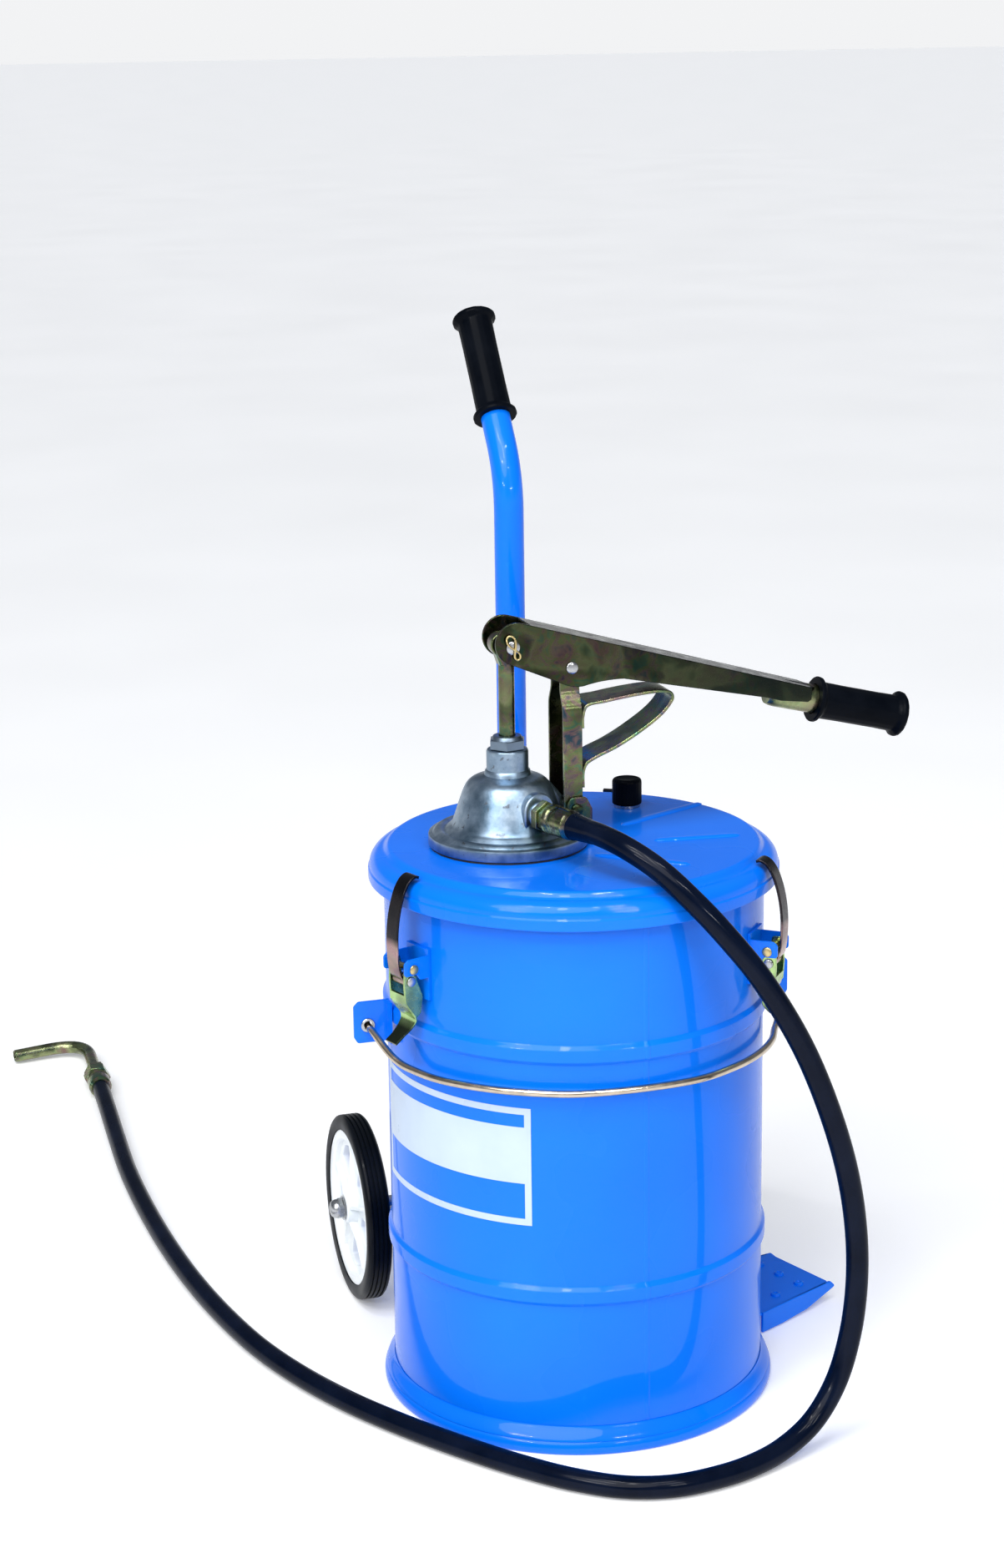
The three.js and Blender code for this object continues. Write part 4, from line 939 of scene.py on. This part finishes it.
ROD_PIN = (-49.0, 20.0)
cheek = arc(-46.5, 22.6, 17, 73.9, 243, 36) + [(-12, -10.8)]
cheek += quad((-12, -10.8), (0, -17.4), (10, -16)) + quad((10, -16), (26, -12), (44, -12.6))
cheek += [(168, -38.5), (180, -42), (204, -45), (207, -43), (207.6, top_edge(207.6)), (-36, top_edge(-36))]
lever = []
for sign in (1, -1):
    close_in = move(70) @ turn(-sign * LEVER_TAPER, "Z") @ move(-70, sign * 16.75)
    loops = [cheek, circle(*ROD_PIN, 4.2, 24), circle(0, 0, 4.2, 24)]
    lever.append(plate(loops, 2.5, 0.7, AT_FULCRUM @ close_in @ UPRIGHT))
    rib = [(-6, top_edge(-6) - 9), (40, top_edge(40) - 8), (40, top_edge(40) - 12.5), (-6, top_edge(-6) - 14)]
    lever.append(plate(rounded(rib, 2), 1.6, 0.75, AT_FULCRUM @ close_in @ move(y=-sign * 1.0) @ UPRIGHT))


def half_width(x):
    return 18 - (x - 70) * math.tan(rad(LEVER_TAPER)) - 0.2


slope = turn(LEVER_SLOPE, "Y")
web = [(x / math.cos(rad(LEVER_SLOPE)), y) for x, y in
       ((-34, -half_width(-34)), (207, -half_width(207)), (212.5, -9), (212.5, 9), (207, half_width(207)),
        (-34, half_width(-34)))]
lever.append(plate(web, 2.6, 1.0, AT_FULCRUM @ move(z=top_edge(0) - 1.35) @ slope))
LEVER_LEAN = turn(104, "Y")
stub_start = AT_FULCRUM @ move(215, 0, -46.5) @ LEVER_LEAN
stub = [(0, -42), (10.6, -42), (11.6, -39), (12, -35), (12, 75), (0, 75)]
build("lever_grip_stub", [lathe(stub, 64, stub_start)], "lever", ZINC, 40)
build("lever_pressing", lever, "lever", ZINC_LEVER, 32, ["pump_lever"])
build("lever_hand_grip", [grip(82, stub_start)], "lever", GRIP, 40, ["lever_grip"])


def cross_pin(x, z, half, radius, head, name, body, node, material=STEEL):
    at = AT_FULCRUM @ move(x, 0, z) @ AXIS_Y
    shapes = [lathe([(0, -half), (radius, -half), (radius, half), (0, half)], 32, at)]
    for flip in (IDENTITY, turn(180, "X")):
        shapes.append(dome(head, 2, half - 0.1, at @ flip))
    build(name, shapes, body, material, 32, [node])


cross_pin(*ROD_PIN, 20, 4, 5.6, "rod_clevis_pin", "lever", "rod_pin")
cross_pin(0, 0, 19.4, 4, 4.9, "fulcrum_clevis_pin", "lever", "fulcrum_pin")
cross_pin(POST_FOOT[0], POST_FOOT[1] - POST[2], 24, 4, 4.8, "post_foot_rivet", "drum", "post_foot_pin",
          ZINC_DARK)
cotter = [(-3.5, 12, 0), (-4.6, 8, 1.5), (-3.2, 3, 2), (-1.5, 0, 1.6), (1.6, -4, 2), (3.4, -8, 1.8),
          (2.2, -12, 1.2), (-0.6, -13, 0.8), (-2.4, -9, 1.2), (-0.5, -4, 1.8), (2.6, 2, 2), (4.2, 8, 1.5),
          (2.6, 12, 0.4), (-0.6, 13.4, 0), (-3.5, 12, 0)]
pin_face = AT_FULCRUM @ move(ROD_PIN[0], -21.6, ROD_PIN[1]) @ turn(90, "X")
clip = placed(sweep(spline(cotter, 90), 1.15, 12), pin_face @ turn(20, "Z") @ Matrix.Scale(0.78, 4))
build("rod_split_pin", [clip], "lever", BRASS, 50)

# ---------------- outlet adapter
nipple = [(3, 30), (6.1, 30), (6.1, 44), (9.4, 44), (9.8, 45), (9.8, 58), (7, 58), (7, 62), (3, 62), (3, 30)]
adapter = [hexagon(27, AT_PORT, 45.2, 52, 0.9), hexagon(23, AT_PORT, 52, 57.4, 0.8),
           lathe(nipple, 48, AT_PORT)]
build("outlet_union", adapter, "drum", ZINC, 32, ["outlet_adapter"])

# ---------------- finishes on the CAD nodes that stay
for node, material in {"nozzle_tube": ZINC, "pump_barrel": STEEL, "foot_valve": STEEL, "gland_packing": GRIP,
                       "piston": GRIP, "lid_gasket": GRIP, "flange_gasket": FIBRE}.items():
    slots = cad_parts[node].data.materials
    slots.clear()
    slots.append(material)
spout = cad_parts["nozzle_tube"]
weld = spout.modifiers.new("weld", "WELD")
weld.merge_threshold = 0.00001
smooth = spout.modifiers.new("smooth", "SUBSURF")
smooth.levels = smooth.render_levels = 1

# ---------------- floor and light
def floor_material():
    material, tree, shader, coords = node_tree("pale_floor")
    cloud = noise(tree, coords, 1.5, 2)
    color = ramp(tree, cloud, [(0.3, (0.9, 0.905, 0.91)), (0.7, (0.93, 0.935, 0.94))])
    tree.links.new(color, shader.inputs["Base Color"])
    tree.links.new(remap(tree, cloud, 0.3, 0.7, 0.6, 0.7), shader.inputs["Roughness"])
    shader.inputs["Emission Color"].default_value = (1, 1, 1, 1)
    shader.inputs["Emission Strength"].default_value = 0.2
    return material


mesh = bpy.data.meshes.new("floor")
HALF_FLOOR = 90
mesh.from_pydata([(x * HALF_FLOOR, y * HALF_FLOOR, 0) for x, y in ((-1, -1), (1, -1), (1, 1), (-1, 1))], [],
                 [(0, 1, 2, 3)])
mesh.materials.append(floor_material())
floor = bpy.data.objects.new("floor", mesh)
bpy.context.scene.collection.objects.link(floor)


def lamp(name, place, target, size, power):
    data = bpy.data.lights.new(name, "AREA")
    data.shape = "RECTANGLE"
    data.size, data.size_y = size
    data.energy = power
    lamp_object = bpy.data.objects.new(name, data)
    way = Vector(target) - Vector(place)
    lamp_object.matrix_world = Matrix.Translation(place) @ way.to_track_quat("-Z", "Y").to_matrix().to_4x4()
    bpy.context.scene.collection.objects.link(lamp_object)


BAR_REACH, BAR_SIZE, BAR_POWER = 2.7, (0.64, 0.034), 8.5


def bar_bank(azimuth):
    """Three thin strips of light, one over another, seen as bars on gloss."""
    centre = Vector((0, 0, 0.4))
    for elevation in (22, 42, 62):
        a, e = rad(azimuth), rad(elevation)
        place = Vector((math.sin(a) * math.cos(e), -math.cos(a) * math.cos(e), math.sin(e))) * BAR_REACH
        lamp(f"bar_{azimuth}_{elevation}", place + centre, centre, BAR_SIZE, BAR_POWER)


bar_bank(-52)
bar_bank(10)
lamp("head_box", (-0.75, -1.5, 2.6), (-0.05, 0, 0.5), (0.2, 0.8), 7)
sun_data = bpy.data.lights.new("soft_sun", "SUN")
sun_data.energy = 2.1
sun_data.angle = rad(50)
sun = bpy.data.objects.new("soft_sun", sun_data)
sun.matrix_world = (turn(-38, "Z") @ turn(42, "X")).to_4x4()
bpy.context.scene.collection.objects.link(sun)


def studio_world():
    """Pale round the horizon and below, dim overhead."""
    world = bpy.data.worlds.new("studio")
    world.use_nodes = True
    tree = world.node_tree
    way = tree.nodes.new("ShaderNodeTexCoord").outputs["Generated"]
    parts = tree.nodes.new("ShaderNodeSeparateXYZ")
    tree.links.new(way, parts.inputs[0])
    tones = [(0.0, (0.86, 0.87, 0.885)), (0.12, (0.9, 0.905, 0.915)), (0.24, (0.15, 0.17, 0.2)),
             (1.0, (0.3, 0.31, 0.34))]
    shade = ramp(tree, remap(tree, parts.outputs["Z"], -0.1, 1, 0, 1), tones)
    tree.links.new(shade, tree.nodes["Background"].inputs["Color"])
    bpy.context.scene.world = world


studio_world()
bpy.context.scene.view_settings.view_transform = "Standard"
